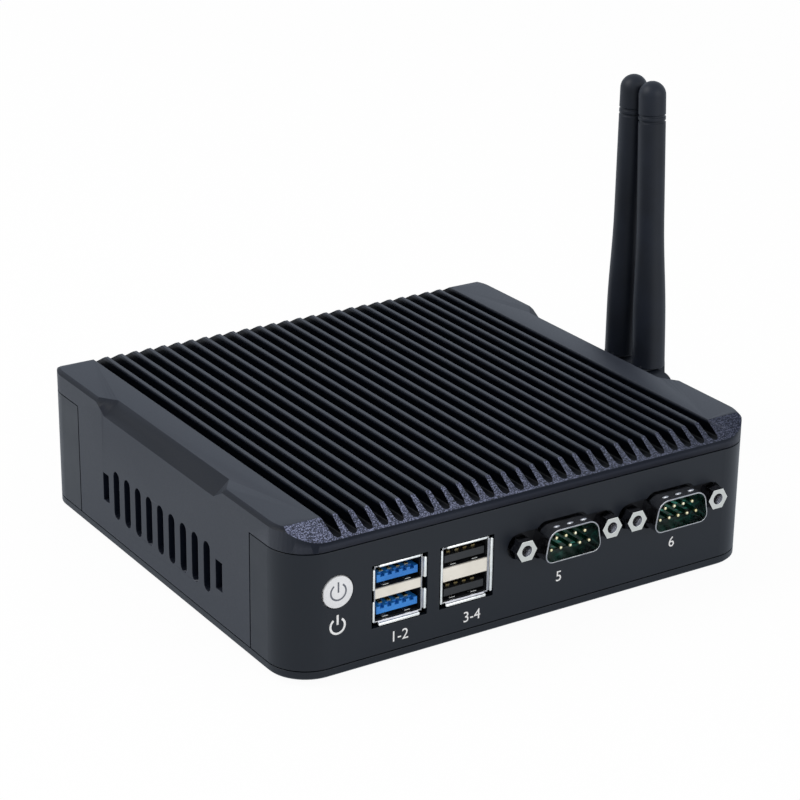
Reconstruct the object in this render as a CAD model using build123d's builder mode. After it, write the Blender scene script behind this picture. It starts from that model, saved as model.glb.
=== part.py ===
from build123d import *
import math
import os

# A small fanless computer: a finned aluminium cover over a board that hangs upside down.
# X runs to the right along the front, Y to the back, Z up. The origin is in the underside
# of the bottom plate, at its middle, and the rubber feet stand below it.
# All lengths are in millimetres.

os.makedirs("parts", exist_ok=True)

# Case
body_width = 134.0
body_depth = 126.0
body_height = 37.4
corner_radius = 10.0
foot_height = 1.5
plate_thickness = 2.1
seam_gap = 0.3
slit_gap = 0.45
panel_height = 28.9
panel_wall = 1.2
side_wall = 2.5
edge_chamfer = 0.95
front_wrap = 18.0
rear_wrap = 19.6

# Heat sink
fin_pitch = 4.155
slot_count = 27
slot_width = 2.6
slot_root_width = 2.3
slot_depth = 3.1
fin_edge = 0.15
bevel_depth = 5.85
bevel_height = 3.4
scoop_length = 56.5
scoop_inset = 4.2
scoop_depth = 3.4
scoop_flare = 66.0

# Side vents
vent_count = 9
vent_pitch = 5.87
vent_width = 3.2
vent_length = 13.05
short_vent_length = 7.6
vent_y = -1.0
vent_height = 14.55

# To keep the mesh light, what is round and small or hidden is a polygon, except where a
# screw, a plug or a joint needs a true bore
pin_sides = 6
light_sides = 8
fair_sides = 12
round_sides = 20

# Screws and pillars
screw_radius = 1.5
screw_clearance = 0.05
screw_pass = 0.2
pillar_radius = 3.5
pillar_inset_x = 8.0
pillar_inset_y = 14.0
ear_width = 12.0
ear_thickness = 2.0
corner_screw_length = 12.0
recess_radius = 1.15
recess_depth = 1.0
foot_radius = 5.0
foot_inset = 17.0
bracket_pitch = 75.0
bracket_hole_radius = 2.0
rib_height = 1.5
rib_wall = 1.2
rib_gap = 0.2
rib_inset = 5.0
plate_edge = 0.5

# Board
board_side_gap = 0.5
board_end_gap = 2.3
board_thickness = 1.6
board_underside = 24.5
board_hole_inset_x = 5.0
board_hole_inset_y = 14.5
standoff_radius = 3.0
board_screw_length = 5.0
screw_end_gap = 0.5
screw_head_radius = 2.75
screw_head_height = 1.6
processor_size = 27.0
processor_height = 1.4
package_height = 0.77
die_width = 13.5
die_depth = 11.2
pad_size = 22.0
pad_thickness = 0.5
heat_block_size = 42.0

# Front controls
button_inset = 12.45
button_z = 21.05
button_radius = 3.93
button_gap = 0.27
button_proud = 0.3
button_travel = 0.6
button_flange = 0.7
flange_thickness = 0.7
flange_slack = 0.2
stem_radius = 2.0
guide_wall = 1.1
guide_web = 0.5
guide_slack = 0.15
stem_length = 3.35
plunger_radius = 1.6
plunger_slack = 0.1
plunger_hold = 0.9
switch_width = 6.0
switch_depth = 5.0

# Twin socket stacks
stack_z = 17.35
fast_inset = 29.05
slow_inset = 47.5
mouth_width = 12.4
mouth_height = 13.7
shell_sheet = 0.3
stack_depth = 17.0
fast_web = 2.4
slow_web = 3.4
lip_side = 1.05
lip_top = 0.6
lip_bottom = 0.95
lip_forward = 0.7
stack_cutout_gap = 0.3
tongue_width = 11.1
tongue_thickness = 1.84
tongue_length = 8.9
tongue_drop = 0.45
tongue_recess = 0.5
contact_thickness = 0.2
contact_width = 1.0
contact_count = 4
contact_step = 2.3
notch_count = 5
notch_pitch = 2.0
notch_width = 1.1
notch_height = 0.65
notch_depth = 1.2
body_recess = 0.1

# Nine-pin ports
serial_z = 20.2
serial_1_inset = 59.3
serial_2_inset = 26.8
dsub_width = 16.92
dsub_height = 8.36
dsub_slant = 10.0
dsub_corner = 2.6
dsub_reach = 6.0
dsub_sheet = 0.4
flange_width = 30.8
flange_height = 12.5
flange_sheet = 0.8
pin_pitch = 2.77
pin_row = 2.84
pin_radius = 0.5
pin_length = 4.6
jackscrew_pitch = 24.99
jackscrew_flats = 5.0
jackscrew_length = 4.8
jackscrew_thread = 1.42
jackscrew_thread_depth = 4.3
dsub_body_width = 19.3
dsub_body_depth = 11.0
dsub_gap = 0.45

# Rear ports
analogue_inset = 29.0
digital_inset = 54.0
network_inset = 52.0
headset_inset = 30.5
inlet_inset = 19.0
network_width = 31.6
network_height = 13.4
network_depth = 17.0
jack_opening_width = 11.7
jack_opening_height = 6.8
jack_pitch = 14.6
latch_width = 6.0
latch_height = 1.6
digital_width = 15.0
digital_height = 5.6
digital_depth = 11.5
digital_slope = 1.3
digital_recess = 0.3
digital_leg = 2.0
digital_leg_height = 0.4
digital_block = 2.5
digital_tongue_width = 11.0
digital_tongue_thickness = 1.1
digital_tongue_recess = 1.0
headset_radius = 3.0
headset_bore = 1.8
headset_depth = 12.0
headset_drop = 0.4
headset_side = 0.3
headset_bore_depth = 10.5
inlet_width = 9.4
inlet_height = 11.0
inlet_depth = 14.0
inlet_bore = 3.15
inlet_bore_depth = 9.5
inlet_pin = 1.05
inlet_pin_length = 8.7
port_recess = 0.2
cutout_gap = 0.2

# Antennas
antenna_z = 20.0
front_antenna_y = 4.5
rear_antenna_y = 17.2
front_antenna_lean = 3.4
rear_antenna_lean = 0.0
jack_thread_radius = 3.1
jack_reach = 7.0
jack_wall_gap = 0.1
nut_bore_gap = 0.05
jack_flats = 8.0
nut_thickness = 2.0
washer_thickness = 0.5
washer_radius = 4.7
coupling_start = 3.0
coupling_length = 7.2
coupling_flats = 8.0
coupling_web = 2.2
retainer_step = 0.15
retainer_gap = 0.2
spigot_radius = 2.5
running_gap = 0.05
knuckle_radius = 4.8
collar_length = 3.2
hinge_reach = 19.5
cheek_radius = 4.9
hinge_slot = 4.4
hinge_tongue = 4.0
hinge_pin_radius = 1.0
whip_length = 84.0
whip_base_radius = 4.3
whip_top_radius = 3.65
whip_start = 5.6
whip_tip_radius = 0.5
dome_steps = 4
neck_inset = 0.3
tongue_overlap = 0.2
pin_gap = 0.02
pin_recess = 0.2
web_end_gap = 0.1
lead_radius = 0.6
plug_radius = 1.4
plug_reach = 8.9
plug_front_shift = 6.0
plug_rear_shift = 3.0
first_bend = 0.37
second_bend = 0.6
bend_rise = 2.0

# Heights and faces that follow from the sizes above
front_y = -body_depth / 2
rear_y = body_depth / 2
panel_bottom = plate_thickness + seam_gap
panel_top = panel_bottom + panel_height
cover_seam = panel_top + seam_gap
board_top = board_underside + board_thickness
front_slit_y = front_y + front_wrap
rear_slit_y = rear_y - rear_wrap
wall_start_y = front_slit_y + slit_gap / 2
wall_end_y = rear_slit_y - slit_gap / 2
front_panel_back = front_y + panel_wall
rear_panel_back = rear_y - panel_wall
left_x = -body_width / 2
right_x = body_width / 2
button_x = left_x + button_inset
fast_x = left_x + fast_inset
slow_x = left_x + slow_inset
serial_1_x = right_x - serial_1_inset
serial_2_x = right_x - serial_2_inset
analogue_x = left_x + analogue_inset
digital_x = left_x + digital_inset
network_x = right_x - network_inset
headset_x = right_x - headset_inset
inlet_x = right_x - inlet_inset
pillar_x = right_x - pillar_inset_x
pillar_y = rear_y - pillar_inset_y
board_width = 2 * (pillar_x - pillar_radius - board_side_gap)
board_depth = 2 * (rear_panel_back - board_end_gap)
board_hole_x = board_width / 2 - board_hole_inset_x
board_hole_y = board_depth / 2 - board_hole_inset_y
corners = [(x, y) for x in (-pillar_x, pillar_x) for y in (-pillar_y, pillar_y)]
board_holes = [(x, y) for x in (-board_hole_x, board_hole_x) for y in (-board_hole_y, board_hole_y)]
hole_radius = screw_radius + screw_clearance
pass_radius = screw_radius + screw_pass


def across(y):
    """A plane that faces the front, at depth y, drawn in X and Z."""
    return Plane.XZ.offset(-y)


def beside(x):
    """A plane that faces right, at x, drawn in Y and Z."""
    return Plane.YZ.offset(x)


def level(z):
    """A flat plane at height z."""
    return Plane.XY.offset(z)


def round_ended(reach, width):
    """A slot along X whose round ends are halves of polygons, centred at reach from each other."""
    with BuildSketch(mode=Mode.PRIVATE) as slot:
        Rectangle(reach, width)
        with GridLocations(reach, 1, 2, 1):
            RegularPolygon(width / 2, fair_sides)
    return slot.sketch


def write(builder, name):
    """Label a finished piece and write it."""
    builder.part.label = name
    export_step(builder.part, f"parts/{name}.step")


# Heat sink cover: finned top, two side walls, pillars, standoffs and the heat block
half_root = slot_root_width / 2
half_slot = slot_width / 2
slot_side = [
    (half_root, -slot_depth),
    (half_slot, -fin_edge),
    (half_slot + fin_edge, 0),
    (half_slot + fin_edge, 1),
]
with BuildSketch(mode=Mode.PRIVATE) as fin_slot:
    with BuildLine():
        Polyline(*slot_side, *[(-x, z) for x, z in reversed(slot_side)], close=True)
    make_face()

bevel_slope = bevel_height / bevel_depth
heat_block_bottom = board_top + processor_height + pad_thickness

with BuildPart() as heatsink_cover:
    with BuildSketch(level(cover_seam)):
        RectangleRounded(body_width, body_depth, corner_radius)
    extrude(amount=body_height - cover_seam)
    chamfer(heatsink_cover.edges().group_by(Axis.Z)[-1], edge_chamfer)
    with BuildSketch(beside(0)):
        with BuildLine():
            Polyline(
                (front_y - 1, body_height - bevel_height - bevel_slope),
                (front_y + bevel_depth, body_height),
                (front_y + bevel_depth, body_height + 1),
                (front_y - 1, body_height + 1),
                close=True,
            )
        make_face()
        mirror(about=Plane.YZ)
    extrude(amount=body_width / 2 + 1, both=True, mode=Mode.SUBTRACT)
    with BuildSketch(across(0)):
        with Locations((0, body_height)):
            with GridLocations(fin_pitch, 1, slot_count, 1):
                add(fin_slot.sketch)
    extrude(amount=body_depth / 2 + 1, both=True, mode=Mode.SUBTRACT)
    wall_length = wall_end_y - wall_start_y
    wall_middle = (wall_end_y + wall_start_y) / 2
    with BuildSketch(level(panel_bottom)):
        with Locations((0, wall_middle)):
            with GridLocations(body_width - side_wall, 1, 2, 1):
                Rectangle(side_wall, wall_length)
    extrude(amount=cover_seam - panel_bottom)
    with BuildSketch(level(plate_thickness + ear_thickness)):
        with Locations(*corners):
            RegularPolygon(pillar_radius, light_sides)
    extrude(amount=cover_seam - plate_thickness - ear_thickness)
    with BuildSketch(level(board_top)):
        with Locations(*board_holes):
            RegularPolygon(standoff_radius, 6)
    extrude(amount=cover_seam - board_top)
    with BuildSketch(level(heat_block_bottom)):
        Rectangle(heat_block_size, heat_block_size)
    extrude(amount=cover_seam - heat_block_bottom)
    with BuildSketch(level(plate_thickness + ear_thickness)):
        with Locations(*corners):
            RegularPolygon(hole_radius, light_sides)
    extrude(amount=corner_screw_length - ear_thickness, mode=Mode.SUBTRACT)
    with BuildSketch(level(board_top)):
        with Locations(*board_holes):
            RegularPolygon(hole_radius, light_sides)
    extrude(amount=board_screw_length - board_thickness + screw_end_gap, mode=Mode.SUBTRACT)
    # A sloped scoop in the middle of each top side edge
    for side in (-1, 1):
        scoop_floor = Plane(
            origin=(side * (body_width - scoop_inset) / 2, 0, body_height - scoop_depth / 2),
            x_dir=(0, 1, 0),
            z_dir=(side * scoop_depth, 0, scoop_inset),
        )
        with BuildSketch(scoop_floor):
            Rectangle(scoop_length, 4 * scoop_inset)
        extrude(amount=scoop_depth, taper=-scoop_flare, mode=Mode.SUBTRACT)
    # Vent slots in the left wall
    with BuildSketch(beside(-body_width / 2)):
        with Locations((vent_y, vent_height)):
            with GridLocations(vent_pitch, 1, vent_count, 1):
                add(round_ended(vent_length - vent_width, vent_width), rotation=90)
            with GridLocations(vent_pitch * (vent_count + 1), 1, 2, 1):
                Rectangle(vent_width, short_vent_length)
    extrude(amount=side_wall, mode=Mode.SUBTRACT)
    # Holes for the antenna jacks in the right wall
    with BuildSketch(beside(body_width / 2)):
        with Locations((front_antenna_y, antenna_z), (rear_antenna_y, antenna_z)):
            RegularPolygon(jack_thread_radius + jack_wall_gap, fair_sides)
    extrude(amount=-side_wall, mode=Mode.SUBTRACT)
write(heatsink_cover, "heatsink_cover")


def panel_sketch(face_y, slit_y):
    """The plan of a panel: a face, two rounded corners and two short sides."""
    near = slit_y + math.copysign(slit_gap / 2, face_y)
    with BuildSketch(level(panel_bottom), mode=Mode.PRIVATE) as plan:
        RectangleRounded(body_width, body_depth, corner_radius)
        RectangleRounded(
            body_width - 2 * panel_wall,
            body_depth - 2 * panel_wall,
            corner_radius - panel_wall,
            mode=Mode.SUBTRACT,
        )
        with Locations((0, (face_y + near) / 2)):
            Rectangle(body_width, abs(face_y - near), mode=Mode.INTERSECT)
    return plan.sketch


def ear_sketch(face_y, slit_y):
    """Two corner ears inside a panel, which the corner screws clamp."""
    near = slit_y + math.copysign(slit_gap / 2, face_y)
    spots = [(x, y) for x, y in corners if y * face_y > 0]
    with BuildSketch(level(plate_thickness), mode=Mode.PRIVATE) as ears:
        with Locations((0, (face_y + near) / 2)):
            with GridLocations(2 * pillar_x, 1, 2, 1):
                Rectangle(ear_width, abs(face_y - near))
        RectangleRounded(
            body_width - panel_wall,
            body_depth - panel_wall,
            corner_radius - panel_wall / 2,
            mode=Mode.INTERSECT,
        )
        with Locations(*spots):
            RegularPolygon(pass_radius, light_sides, mode=Mode.SUBTRACT)
    return ears.sketch


# Setbacks, in radii, of the two cuts that stand for a round corner
first_cut = math.tan(math.radians(45.0)) - math.tan(math.radians(22.5))
second_cut = math.tan(math.radians(22.5)) - math.tan(math.radians(11.25))


def dsub_sketch(width, height, corner, upside_down):
    """The outline of a D-shaped shell, narrow side up when upside_down."""
    lean = height * math.tan(math.radians(dsub_slant))
    narrow = width / 2 - lean
    wide_z = -height / 2 if upside_down else height / 2
    with BuildSketch(mode=Mode.PRIVATE) as outline:
        with BuildLine():
            Polyline(
                (-width / 2, wide_z),
                (width / 2, wide_z),
                (narrow, -wide_z),
                (-narrow, -wide_z),
                close=True,
            )
        make_face()
        chamfer(outline.vertices(), corner * first_cut)
        chamfer(outline.vertices(), corner * second_cut)
    return outline.sketch


# Front panel with the cut-outs for the button, the stacks and the nine-pin ports
mouth_outer_width = mouth_width + 2 * lip_side + 2 * stack_cutout_gap
mouth_outer_height = mouth_height + lip_top + lip_bottom + 2 * stack_cutout_gap
cutout_z = stack_z + (lip_top - lip_bottom) / 2
jackscrew_corner = jackscrew_flats / math.sqrt(3)

with BuildPart() as front_panel:
    add(extrude(panel_sketch(front_y, front_slit_y), amount=panel_height, mode=Mode.PRIVATE))
    add(extrude(ear_sketch(front_y, front_slit_y), amount=ear_thickness, mode=Mode.PRIVATE))
    with BuildSketch(across(front_y)):
        with Locations((button_x, button_z)):
            RegularPolygon(button_radius + button_gap, round_sides)
        with Locations((fast_x, cutout_z), (slow_x, cutout_z)):
            Rectangle(mouth_outer_width, mouth_outer_height)
        for port_x in (serial_1_x, serial_2_x):
            with Locations((port_x, serial_z)):
                add(dsub_sketch(dsub_width + 2 * dsub_gap, dsub_height + 2 * dsub_gap, dsub_corner, True))
                add(round_ended(jackscrew_pitch, 2 * (jackscrew_corner + dsub_gap)))
    extrude(amount=-2 * panel_wall, mode=Mode.SUBTRACT)
write(front_panel, "front_panel")

# Rear panel with the cut-outs for the ports
network_z = board_underside - network_height / 2
digital_z = board_underside - digital_height / 2 - digital_leg_height
headset_z = board_underside - headset_radius - headset_drop
inlet_z = board_underside - inlet_height / 2
analogue_z = serial_z

with BuildPart() as rear_panel:
    add(extrude(panel_sketch(rear_y, rear_slit_y), amount=panel_height, mode=Mode.PRIVATE))
    add(extrude(ear_sketch(rear_y, rear_slit_y), amount=ear_thickness, mode=Mode.PRIVATE))
    with BuildSketch(across(rear_y)):
        with Locations((analogue_x, analogue_z)):
            add(dsub_sketch(dsub_width + 2 * dsub_gap, dsub_height + 2 * dsub_gap, dsub_corner, True))
            add(round_ended(jackscrew_pitch, 2 * (jackscrew_corner + dsub_gap)))
        with Locations((digital_x, digital_z)):
            Rectangle(digital_width + 2 * cutout_gap, digital_height + 2 * cutout_gap)
        with Locations((network_x, network_z)):
            Rectangle(network_width + 2 * cutout_gap, network_height + 2 * cutout_gap)
        with Locations((headset_x, headset_z)):
            RegularPolygon(headset_radius + cutout_gap, fair_sides)
        with Locations((inlet_x, inlet_z)):
            Rectangle(inlet_width + 2 * cutout_gap, inlet_height + 2 * cutout_gap)
    extrude(amount=panel_wall, mode=Mode.SUBTRACT)
write(rear_panel, "rear_panel")

# Bottom plate: countersunk corner holes, threaded bracket holes and locating ribs
head_angle = 45.0
head_radius = screw_head_radius
plate_clear = rib_wall / 2 + rib_gap
side_rib_x = body_width / 2 - side_wall - plate_clear
end_rib_y = body_depth / 2 - panel_wall - plate_clear
side_rib_length = rear_slit_y - front_slit_y - 2 * rib_inset
end_rib_length = 2 * (pillar_x - ear_width)

with BuildPart() as bottom_plate:
    with BuildSketch(level(0)):
        RectangleRounded(body_width, body_depth, corner_radius)
    extrude(amount=plate_thickness)
    chamfer(bottom_plate.edges().group_by(Axis.Z)[0], plate_edge)
    with BuildSketch(level(plate_thickness)):
        with Locations((0, wall_middle)):
            with GridLocations(2 * side_rib_x, 1, 2, 1):
                Rectangle(rib_wall, side_rib_length)
        with GridLocations(1, 2 * end_rib_y, 1, 2):
            Rectangle(end_rib_length, rib_wall)
    extrude(amount=rib_height)
    with BuildSketch(level(0)):
        with Locations(*corners):
            RegularPolygon(pass_radius, light_sides)
        with GridLocations(bracket_pitch, bracket_pitch, 2, 2):
            Circle(bracket_hole_radius)
    extrude(amount=plate_thickness, mode=Mode.SUBTRACT)
    with BuildSketch(level(0)):
        with Locations(*corners):
            RegularPolygon(head_radius + screw_pass, light_sides)
    extrude(amount=head_radius - screw_radius, taper=head_angle, mode=Mode.SUBTRACT)
write(bottom_plate, "bottom_plate")

# Four countersunk corner screws, one group
with BuildPart() as corner_screws:
    with BuildSketch(level(0)):
        with Locations(*corners):
            RegularPolygon(head_radius, light_sides)
    extrude(amount=head_radius - screw_radius, taper=head_angle)
    with BuildSketch(level(0)):
        with Locations(*corners):
            RegularPolygon(screw_radius, light_sides)
    extrude(amount=corner_screw_length)
    with BuildSketch(level(0)):
        with Locations(*corners):
            RegularPolygon(recess_radius, 6)
    extrude(amount=recess_depth, mode=Mode.SUBTRACT)
write(corner_screws, "corner_screws")

# Four stick-on rubber feet, one group
with BuildPart() as rubber_feet:
    with BuildSketch(level(-foot_height)):
        with GridLocations(body_width - 2 * foot_inset, body_depth - 2 * foot_inset, 2, 2):
            RegularPolygon(foot_radius, fair_sides)
    extrude(amount=foot_height)
write(rubber_feet, "rubber_feet")


# Power button: a face, a retaining flange with a flat towards the corner, and a stem
flange_radius = button_radius + button_flange
flange_front = panel_wall + flange_slack
flange_back = flange_front + flange_thickness
web_front = flange_back + button_travel + flange_slack
web_back = web_front + guide_web
stem_end = flange_back + stem_length - flange_thickness
button_edge = 0.25

with BuildPart() as power_button:
    with BuildSketch(across(front_y - button_proud)):
        with Locations((button_x, button_z)):
            RegularPolygon(button_radius, round_sides)
    extrude(amount=-(button_proud + flange_front))
    chamfer(power_button.edges().group_by(Axis.Y)[0], button_edge)
    with BuildSketch(across(front_y)):
        with Locations((button_x, button_z)):
            RegularPolygon(stem_radius, light_sides)
    extrude(amount=-stem_end)
    with BuildSketch(across(front_y + flange_front)):
        with Locations((button_x, button_z)):
            RegularPolygon(flange_radius, round_sides)
        with Locations((button_x - button_radius + flange_radius, button_z)):
            Rectangle(2 * flange_radius, 2 * flange_radius, mode=Mode.INTERSECT)
    extrude(amount=-flange_thickness)
write(power_button, "power_button")

# Guide cup on the back of the front panel, fitted to the panel's round corner
bore_radius = flange_radius + guide_slack
with BuildPart() as button_guide:
    with BuildSketch(across(front_y + panel_wall)):
        with Locations((button_x, button_z)):
            RegularPolygon(bore_radius + guide_wall, light_sides, major_radius=False)
    extrude(amount=-(web_back - panel_wall))
    with BuildSketch(across(front_y + panel_wall)):
        with Locations((button_x, button_z)):
            RegularPolygon(bore_radius, round_sides, major_radius=False)
    extrude(amount=-(web_front - panel_wall), mode=Mode.SUBTRACT)
    with BuildSketch(across(front_y + web_back)):
        with Locations((button_x, button_z)):
            RegularPolygon(stem_radius + guide_slack, light_sides)
    extrude(amount=web_back - web_front, mode=Mode.SUBTRACT)
    with BuildSketch(level(panel_bottom)):
        RectangleRounded(body_width - 2 * panel_wall, body_depth - 2 * panel_wall, corner_radius - panel_wall)
    extrude(amount=panel_height, mode=Mode.INTERSECT)
write(button_guide, "button_guide")

# Push switch under the board: its plunger moves with the button
switch_front = stem_end + button_travel + plunger_slack
plunger_end = switch_front + plunger_hold
with BuildPart() as switch_plunger:
    with BuildSketch(across(front_y + stem_end)):
        with Locations((button_x, button_z)):
            RegularPolygon(plunger_radius, light_sides)
    extrude(amount=-(plunger_end - stem_end))
write(switch_plunger, "switch_plunger")

with BuildPart() as power_switch:
    switch_bottom = button_z - switch_width / 2
    switch_height = board_underside - switch_bottom
    with BuildSketch(across(front_y + switch_front)):
        with Locations((button_x, switch_bottom + switch_height / 2)):
            Rectangle(switch_width, switch_height)
    extrude(amount=-switch_depth)
    with BuildSketch(across(front_y + switch_front)):
        with Locations((button_x, button_z)):
            RegularPolygon(plunger_radius + guide_slack, light_sides)
    extrude(amount=-(plunger_hold + button_travel + plunger_slack), mode=Mode.SUBTRACT)
write(power_switch, "power_switch")

# Main board with its screw holes
with BuildPart() as mainboard:
    with BuildSketch(level(board_underside)):
        Rectangle(board_width, board_depth)
        with Locations(*board_holes):
            RegularPolygon(pass_radius, light_sides, mode=Mode.SUBTRACT)
    extrude(amount=board_thickness)
write(mainboard, "mainboard")

with BuildPart() as board_screws:
    with BuildSketch(level(board_underside)):
        with Locations(*board_holes):
            RegularPolygon(screw_head_radius, 6)
    extrude(amount=-screw_head_height)
    with BuildSketch(level(board_underside)):
        with Locations(*board_holes):
            RegularPolygon(screw_radius, light_sides)
    extrude(amount=board_screw_length)
write(board_screws, "board_screws")

# Processor package with its die, and the pad that carries heat to the cover
with BuildPart() as processor:
    with BuildSketch(level(board_top)):
        Rectangle(processor_size, processor_size)
    extrude(amount=package_height)
    with BuildSketch(level(board_top)):
        Rectangle(die_width, die_depth)
    extrude(amount=processor_height)
write(processor, "processor")

with BuildPart() as thermal_pad:
    with BuildSketch(level(board_top + processor_height)):
        Rectangle(pad_size, pad_size)
    extrude(amount=pad_thickness)
write(thermal_pad, "thermal_pad")


# Twin socket stacks
stack_front = front_y + lip_forward
stack_back = stack_front + stack_depth
tongue_front = stack_front + tongue_recess
tongue_back = tongue_front + tongue_length
lip_length_x = 10.9
lip_length_z = 4.9


def port_heights(web):
    """The middle heights of a stack's two ports, and how tall each is."""
    height = (mouth_height - web) / 2
    step = (height + web) / 2
    return (stack_z - step, stack_z + step), height


def side_lip(sign):
    """The plan of a flared side lip on one side of a stack, about its middle."""
    root = sign * mouth_width / 2
    return [
        (root, stack_front),
        (root + sign * shell_sheet, stack_front),
        (root + sign * lip_side, front_y + shell_sheet),
        (root + sign * lip_side, front_y),
    ]


def end_lip(sign, reach):
    """The side view of a flared lip at the top or bottom of a stack."""
    root = stack_z + sign * mouth_height / 2
    return [
        (stack_front, root),
        (stack_front, root + sign * shell_sheet),
        (front_y + shell_sheet, root + sign * reach),
        (front_y, root + sign * reach),
    ]


def stack_shell(port_x, web, split_lips):
    """A plated sheet tube with flared lips at its mouth."""
    middles, port_height = port_heights(web)
    lip_middles = middles if split_lips else (stack_z,)
    lip_length = lip_length_z if split_lips else lip_length_z + web + port_height
    with BuildPart() as shell:
        with BuildSketch(across(stack_front)):
            with Locations((port_x, stack_z)):
                Rectangle(mouth_width + 2 * shell_sheet, mouth_height + 2 * shell_sheet)
                Rectangle(mouth_width, mouth_height, mode=Mode.SUBTRACT)
        extrude(amount=-stack_depth)
        for sign in (-1, 1):
            for middle in lip_middles:
                with BuildSketch(level(middle)):
                    with BuildLine():
                        Polyline(*[(port_x + x, y) for x, y in side_lip(sign)], close=True)
                    make_face()
                extrude(amount=lip_length / 2, both=True)
            reach = lip_top if sign > 0 else lip_bottom
            with BuildSketch(beside(port_x)):
                with BuildLine():
                    Polyline(*end_lip(sign, reach), close=True)
                make_face()
            extrude(amount=lip_length_x / 2, both=True)
    return shell


def stack_body(port_x, web):
    """The pale moulding: a web between the ports and a block behind them."""
    with BuildPart() as body:
        with BuildSketch(across(stack_front + body_recess)):
            with Locations((port_x, stack_z)):
                Rectangle(mouth_width, web)
        extrude(amount=-(stack_depth - body_recess))
        with BuildSketch(across(tongue_back)):
            with Locations((port_x, stack_z)):
                Rectangle(mouth_width, mouth_height)
        extrude(amount=-(stack_back - tongue_back))
    return body


def stack_tongues(port_x, web, notches):
    """Two tongues, one in each port, with notches along the front edge of the fast ones."""
    middles, _ = port_heights(web)
    spots = [(port_x, z - tongue_drop) for z in middles]
    with BuildPart() as tongues:
        with BuildSketch(across(tongue_front)):
            with Locations(*spots):
                Rectangle(tongue_width, tongue_thickness)
        extrude(amount=-tongue_length)
        if notches:
            with BuildSketch(across(tongue_front)):
                with Locations(*[(x, z + tongue_thickness / 2) for x, z in spots]):
                    with GridLocations(notch_pitch, 1, notches, 1):
                        Rectangle(notch_width, 2 * notch_height)
            extrude(amount=-notch_depth, mode=Mode.SUBTRACT)
    return tongues


contact_spots = []
for stack_name, port_x, web, notches in (("fast", fast_x, fast_web, notch_count), ("slow", slow_x, slow_web, 0)):
    write(stack_shell(port_x, web, notches > 0), f"{stack_name}_stack_shell")
    write(stack_body(port_x, web), f"{stack_name}_stack_body")
    write(stack_tongues(port_x, web, notches), f"{stack_name}_stack_tongues")
    contact_spots += [(port_x, z) for z in port_heights(web)[0]]

# Four gilt strips on top of each tongue
contact_rise = tongue_thickness / 2 - tongue_drop + contact_thickness / 2
contact_start = 1.6
with BuildPart() as stack_contacts:
    with BuildSketch(across(tongue_front + contact_start)):
        with Locations(*[(x, z + contact_rise) for x, z in contact_spots]):
            with GridLocations(contact_step, 1, contact_count, 1):
                Rectangle(contact_width, contact_thickness)
    extrude(amount=-(tongue_length - contact_start))
write(stack_contacts, "stack_contacts")


# D-shaped ports: facing is -1 for the front and 1 for the back
clinch_radius = 2.6
clinch_length = 2.4
screw_stud = 1.35
moulding_gap = 0.02
block_lift = 0.8


def dsub_shell(port_xs, face, facing, width, height):
    """Drawn shells with their flanges and two clinch nuts behind each flange."""
    middles = [(x, serial_z) for x in port_xs]
    spots = [(x + side * jackscrew_pitch / 2, z) for x, z in middles for side in (-1, 1)]
    with BuildPart() as shell:
        with BuildSketch(across(face)):
            with Locations(*middles):
                Rectangle(flange_width, flange_height)
        extrude(amount=facing * flange_sheet)
        with BuildSketch(across(face)):
            with Locations(*middles):
                add(dsub_sketch(width, height, dsub_corner, True))
        extrude(amount=-facing * dsub_reach)
        with BuildSketch(across(face - facing * flange_sheet)):
            with Locations(*spots):
                RegularPolygon(clinch_radius, 6)
        extrude(amount=facing * clinch_length)
        with BuildSketch(across(face - facing * flange_sheet)):
            with Locations(*middles):
                add(dsub_sketch(width - 2 * dsub_sheet, height - 2 * dsub_sheet, dsub_corner - dsub_sheet, True))
        extrude(amount=-facing * (flange_sheet + dsub_reach), mode=Mode.SUBTRACT)
        with BuildSketch(across(face)):
            with Locations(*spots):
                RegularPolygon(screw_stud + screw_clearance, light_sides)
        extrude(amount=facing * (flange_sheet + clinch_length), mode=Mode.SUBTRACT)
    return shell


def dsub_insulator(port_xs, face, facing, width, height, fill):
    """The moulding inside each shell, and its block behind the flange that meets the board."""
    block_bottom = serial_z - flange_height / 2 + block_lift
    block_height = board_underside - block_bottom
    inner_width = width - 2 * dsub_sheet - 2 * moulding_gap
    inner_height = height - 2 * dsub_sheet - 2 * moulding_gap
    with BuildPart() as insulator:
        with BuildSketch(across(face + facing * fill)):
            with Locations(*[(x, serial_z) for x in port_xs]):
                add(dsub_sketch(inner_width, inner_height, dsub_corner - dsub_sheet, True))
        extrude(amount=facing * (fill + 2 * flange_sheet))
        with BuildSketch(across(face - facing * flange_sheet)):
            with Locations(*[(x, block_bottom + block_height / 2) for x in port_xs]):
                Rectangle(dsub_body_width, block_height)
        extrude(amount=facing * dsub_body_depth)
    return insulator


def jackscrews(port_xs, face, facing):
    """Hexagonal screws with a female thread, and their studs in the clinch nuts."""
    half = jackscrew_pitch / 2
    spots = [(x + shift, serial_z) for x in port_xs for shift in (-half, half)]
    with BuildPart() as screws:
        with BuildSketch(across(face)):
            with Locations(*spots):
                RegularPolygon(jackscrew_flats / 2, 6, major_radius=False, rotation=30)
        extrude(amount=-facing * jackscrew_length)
        with BuildSketch(across(face)):
            with Locations(*spots):
                RegularPolygon(screw_stud, light_sides)
        extrude(amount=facing * (flange_sheet + clinch_length))
        with BuildSketch(across(face + facing * jackscrew_length)):
            with Locations(*spots):
                Circle(jackscrew_thread)
        extrude(amount=facing * jackscrew_thread_depth, mode=Mode.SUBTRACT)
    return screws


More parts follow.
